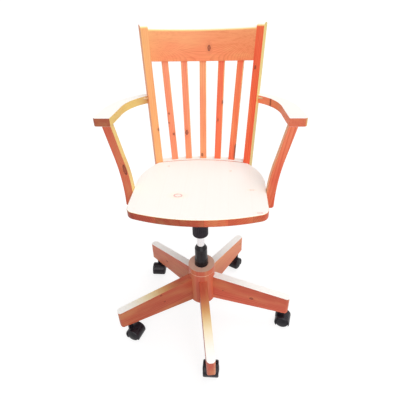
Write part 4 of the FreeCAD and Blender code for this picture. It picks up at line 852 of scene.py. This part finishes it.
# %% plastic and metal pieces
NODE_SLOT = {part["node"]: part["material_slot"] for part in frame["record"]["subparts"]}
SHOWN = {"column_cover": (COVER_BLACK, 0.0006), "lift_guide_bush": (TUBE_BLACK, 0.0005),
         "lift_outer_tube": (TUBE_BLACK, 0.0006), "lift_cylinder": (CHROME, 0.0004),
         "seat_plate": (PLATE_BLACK, 0.0006), "taper_socket": (PLATE_BLACK, 0.0004),
         "release_lever": (PLATE_BLACK, 0.0005), "lever_knob": (COVER_BLACK, 0.0012),
         "caster_sockets": (ZINC, 0.0003)}
for number in range(1, LEG_COUNT + 1):
    SHOWN[f"caster_{number}_hood"] = (HOOD_BLACK, 0.0007)
    SHOWN[f"caster_{number}_wheel_left"] = SHOWN[f"caster_{number}_wheel_right"] = (WHEEL_BLACK, 0.0005)
for node, (material, round_over) in SHOWN.items():
    dress(node, material, NODE_SLOT[node], round_over, small=0.02)
print("shown", len(SHOWN))

# %% [markdown]
# The screws. The plate, the rail and the posts are held by countersunk screws with a cross
# recess. One screw is turned as a profile round its axis, the recess is cut with a Boolean,
# and a tree sets a copy at every place, with the turn that each point carries.

# %% screw tree
nodes, given, out = geometry_tree("screws", {"Places": "shape", "Screw": "object", "Material": "material"})
template = nodes.add("GeometryNodeObjectInfo", {"Object": given["Screw"]}).outputs["Geometry"]
turns = nodes.add("GeometryNodeInputNamedAttribute", {"Name": "turns"}, data_type="FLOAT_VECTOR").outputs[0]
facing = nodes.add("FunctionNodeEulerToRotation", {"Euler": turns}).outputs[0]
copies = nodes.add("GeometryNodeInstanceOnPoints", {"Points": given["Places"], "Instance": template,
                                                    "Rotation": facing}).outputs[0]
finish_tree(nodes, copies, given["Material"], out)
SCREW_TREE = nodes.tree
print("tree", SCREW_TREE.name)

# %% one screw
SCREW_RADIUS, HEAD_RADIUS, HEAD_HIGH, HEAD_LIP, POINT_LONG = 0.0025, 0.005, 0.0032, 0.0002, 0.004
CROSS_SIZE, CROSS_TAPER = (0.0054, 0.0011, 0.004, 1), 0.45


def screw_shape(name, length):
    """A countersunk screw with a cross recess, its head's top at the origin, pointing down."""
    outline = [(0, 0), (HEAD_RADIUS - HEAD_LIP, 0), (HEAD_RADIUS, -HEAD_LIP), (SCREW_RADIUS, -HEAD_HIGH),
               (SCREW_RADIUS, -length + POINT_LONG), (0, -length)]
    shape = bmesh.new()
    corners = [shape.verts.new((x, 0, z)) for x, z in outline]
    line = [shape.edges.new(pair) for pair in zip(corners, corners[1:])]
    bmesh.ops.spin(shape, geom=corners + line, cent=(0, 0, 0), axis=(0, 0, 1), angle=2 * pi, steps=24)
    bmesh.ops.remove_doubles(shape, verts=shape.verts, dist=1e-6)
    bmesh.ops.recalc_face_normals(shape, faces=shape.faces)
    mesh = bpy.data.meshes.new(name)
    shape.to_mesh(mesh)
    shape.free()
    screw = bpy.data.objects.new(name, mesh)
    scene.collection.objects.link(screw)
    cross = bmesh.new()
    for angle in (0, pi / 2):
        arm = bmesh.ops.create_cube(cross, size=1, matrix=Matrix.Rotation(angle, 4, "Z")
                                    @ Matrix.Diagonal(CROSS_SIZE))["verts"]
        for corner in arm:
            if corner.co.z < 0:
                corner.co.x, corner.co.y = corner.co.x * CROSS_TAPER, corner.co.y * CROSS_TAPER
    cross_mesh = bpy.data.meshes.new(name + "_cross")
    cross.to_mesh(cross_mesh)
    cross.free()
    cutter = bpy.data.objects.new(name + "_cross", cross_mesh)
    scene.collection.objects.link(cutter)
    recess = screw.modifiers.new("recess", "BOOLEAN")
    recess.operation, recess.object, recess.solver, recess.use_self = "DIFFERENCE", cutter, "EXACT", True
    bpy.context.view_layer.update()
    screw.data = bpy.data.meshes.new_from_object(screw.evaluated_get(bpy.context.evaluated_depsgraph_get()))
    screw.modifiers.clear()
    bpy.data.objects.remove(cutter)
    return screw


def screw_group(node, length, places):
    """All the screws of one CAD node, at the frames given."""
    mesh = bpy.data.meshes.new(node)
    mesh.from_pydata([place.to_translation() for place in places], [], [])
    turns = mesh.attributes.new("turns", "FLOAT_VECTOR", "POINT")
    for point, place in zip(turns.data, places):
        point.vector = place.to_euler()
    screw = screw_shape(node + "_one", length / 1000)
    piece = grow(node + "_crossed", SCREW_TREE, mesh, {"Screw": screw, "Material": ZINC})
    bpy.data.objects.remove(screw)
    piece.data.shade_smooth()
    piece.data.set_sharp_from_angle(angle=radians(30))
    stand_in(piece, "steel", node)
    print(piece.name, len(places), "screws,", len(piece.data.vertices), "points")


# %% places of the screws
BOTH = (-1, 1)
PLATE_SCREW_X, PLATE_SCREW_Y, PLATE_UNDER = 80, 65, SEAT_TOP - 28 - 3
SEAT_BACK_Y, SEAT_BACK_RADIUS, RAIL_DEEP, RAIL_SCREW_DROP, RAIL_SCREW_STEP = 224, 586, 31, 4, 5.3
POST_TOP, POST_HALF_DEEP, POST_SLANT = 798, 17.5, radians(-POST_LEAN)
POST_Y = (POST_PLACE[1] - (POST_TOP - SEAT_MIDDLE) * tan(POST_SLANT) + POST_HALF_DEEP / cos(POST_SLANT))
POST_SCREW_X, POST_SCREW_STEP = 248, 9
screw_group("seat_plate_screws", 19,
            [move(PLATE_SCREW_X * x, PLATE_SCREW_Y * y, PLATE_UNDER) @ turn("X", 180)
             for x in BOTH for y in BOTH])
screw_group("back_rail_screws", 52,
            [move(0, SEAT_BACK_Y - SEAT_BACK_RADIUS, SEAT_MIDDLE - RAIL_SCREW_DROP)
             @ turn("Z", (number - 1.5) * RAIL_SCREW_STEP) @ move(0, SEAT_BACK_RADIUS + RAIL_DEEP)
             @ turn("X", -90) for number in range(4)])
screw_group("arm_post_bolts", 62,
            [move(sign * POST_SCREW_X, POST_Y + step * POST_SCREW_STEP, SEAT_MIDDLE) @ turn("Y", 90 * sign)
             for sign in BOTH for step in BOTH])

# %% [markdown]
# What stays as the CAD made it: the parts that lie hidden in the hub, the lift, the casters and
# the joints. They still get a real finish, because the object may be opened or cut one day.

# %% hidden pieces
HIDDEN = {"hub_liner": COVER_BLACK, "leg_dowels": BEECH, "frame_dowels": BEECH, "thrust_bearing": ZINC,
          "piston_rod": ZINC, "piston_rod_clip": ZINC, "release_pin": ZINC, "lever_pivot_pin": ZINC}
HIDDEN |= {f"caster_{number}_stem_and_axle": ZINC for number in range(1, LEG_COUNT + 1)}
for node, material in HIDDEN.items():
    inside = frame["nodes"][node]
    for slot in inside.material_slots:
        slot.material = material
    if not inside.material_slots:
        inside.data.materials.append(material)
print("hidden", len(HIDDEN), "of", len(frame["nodes"]), "nodes")
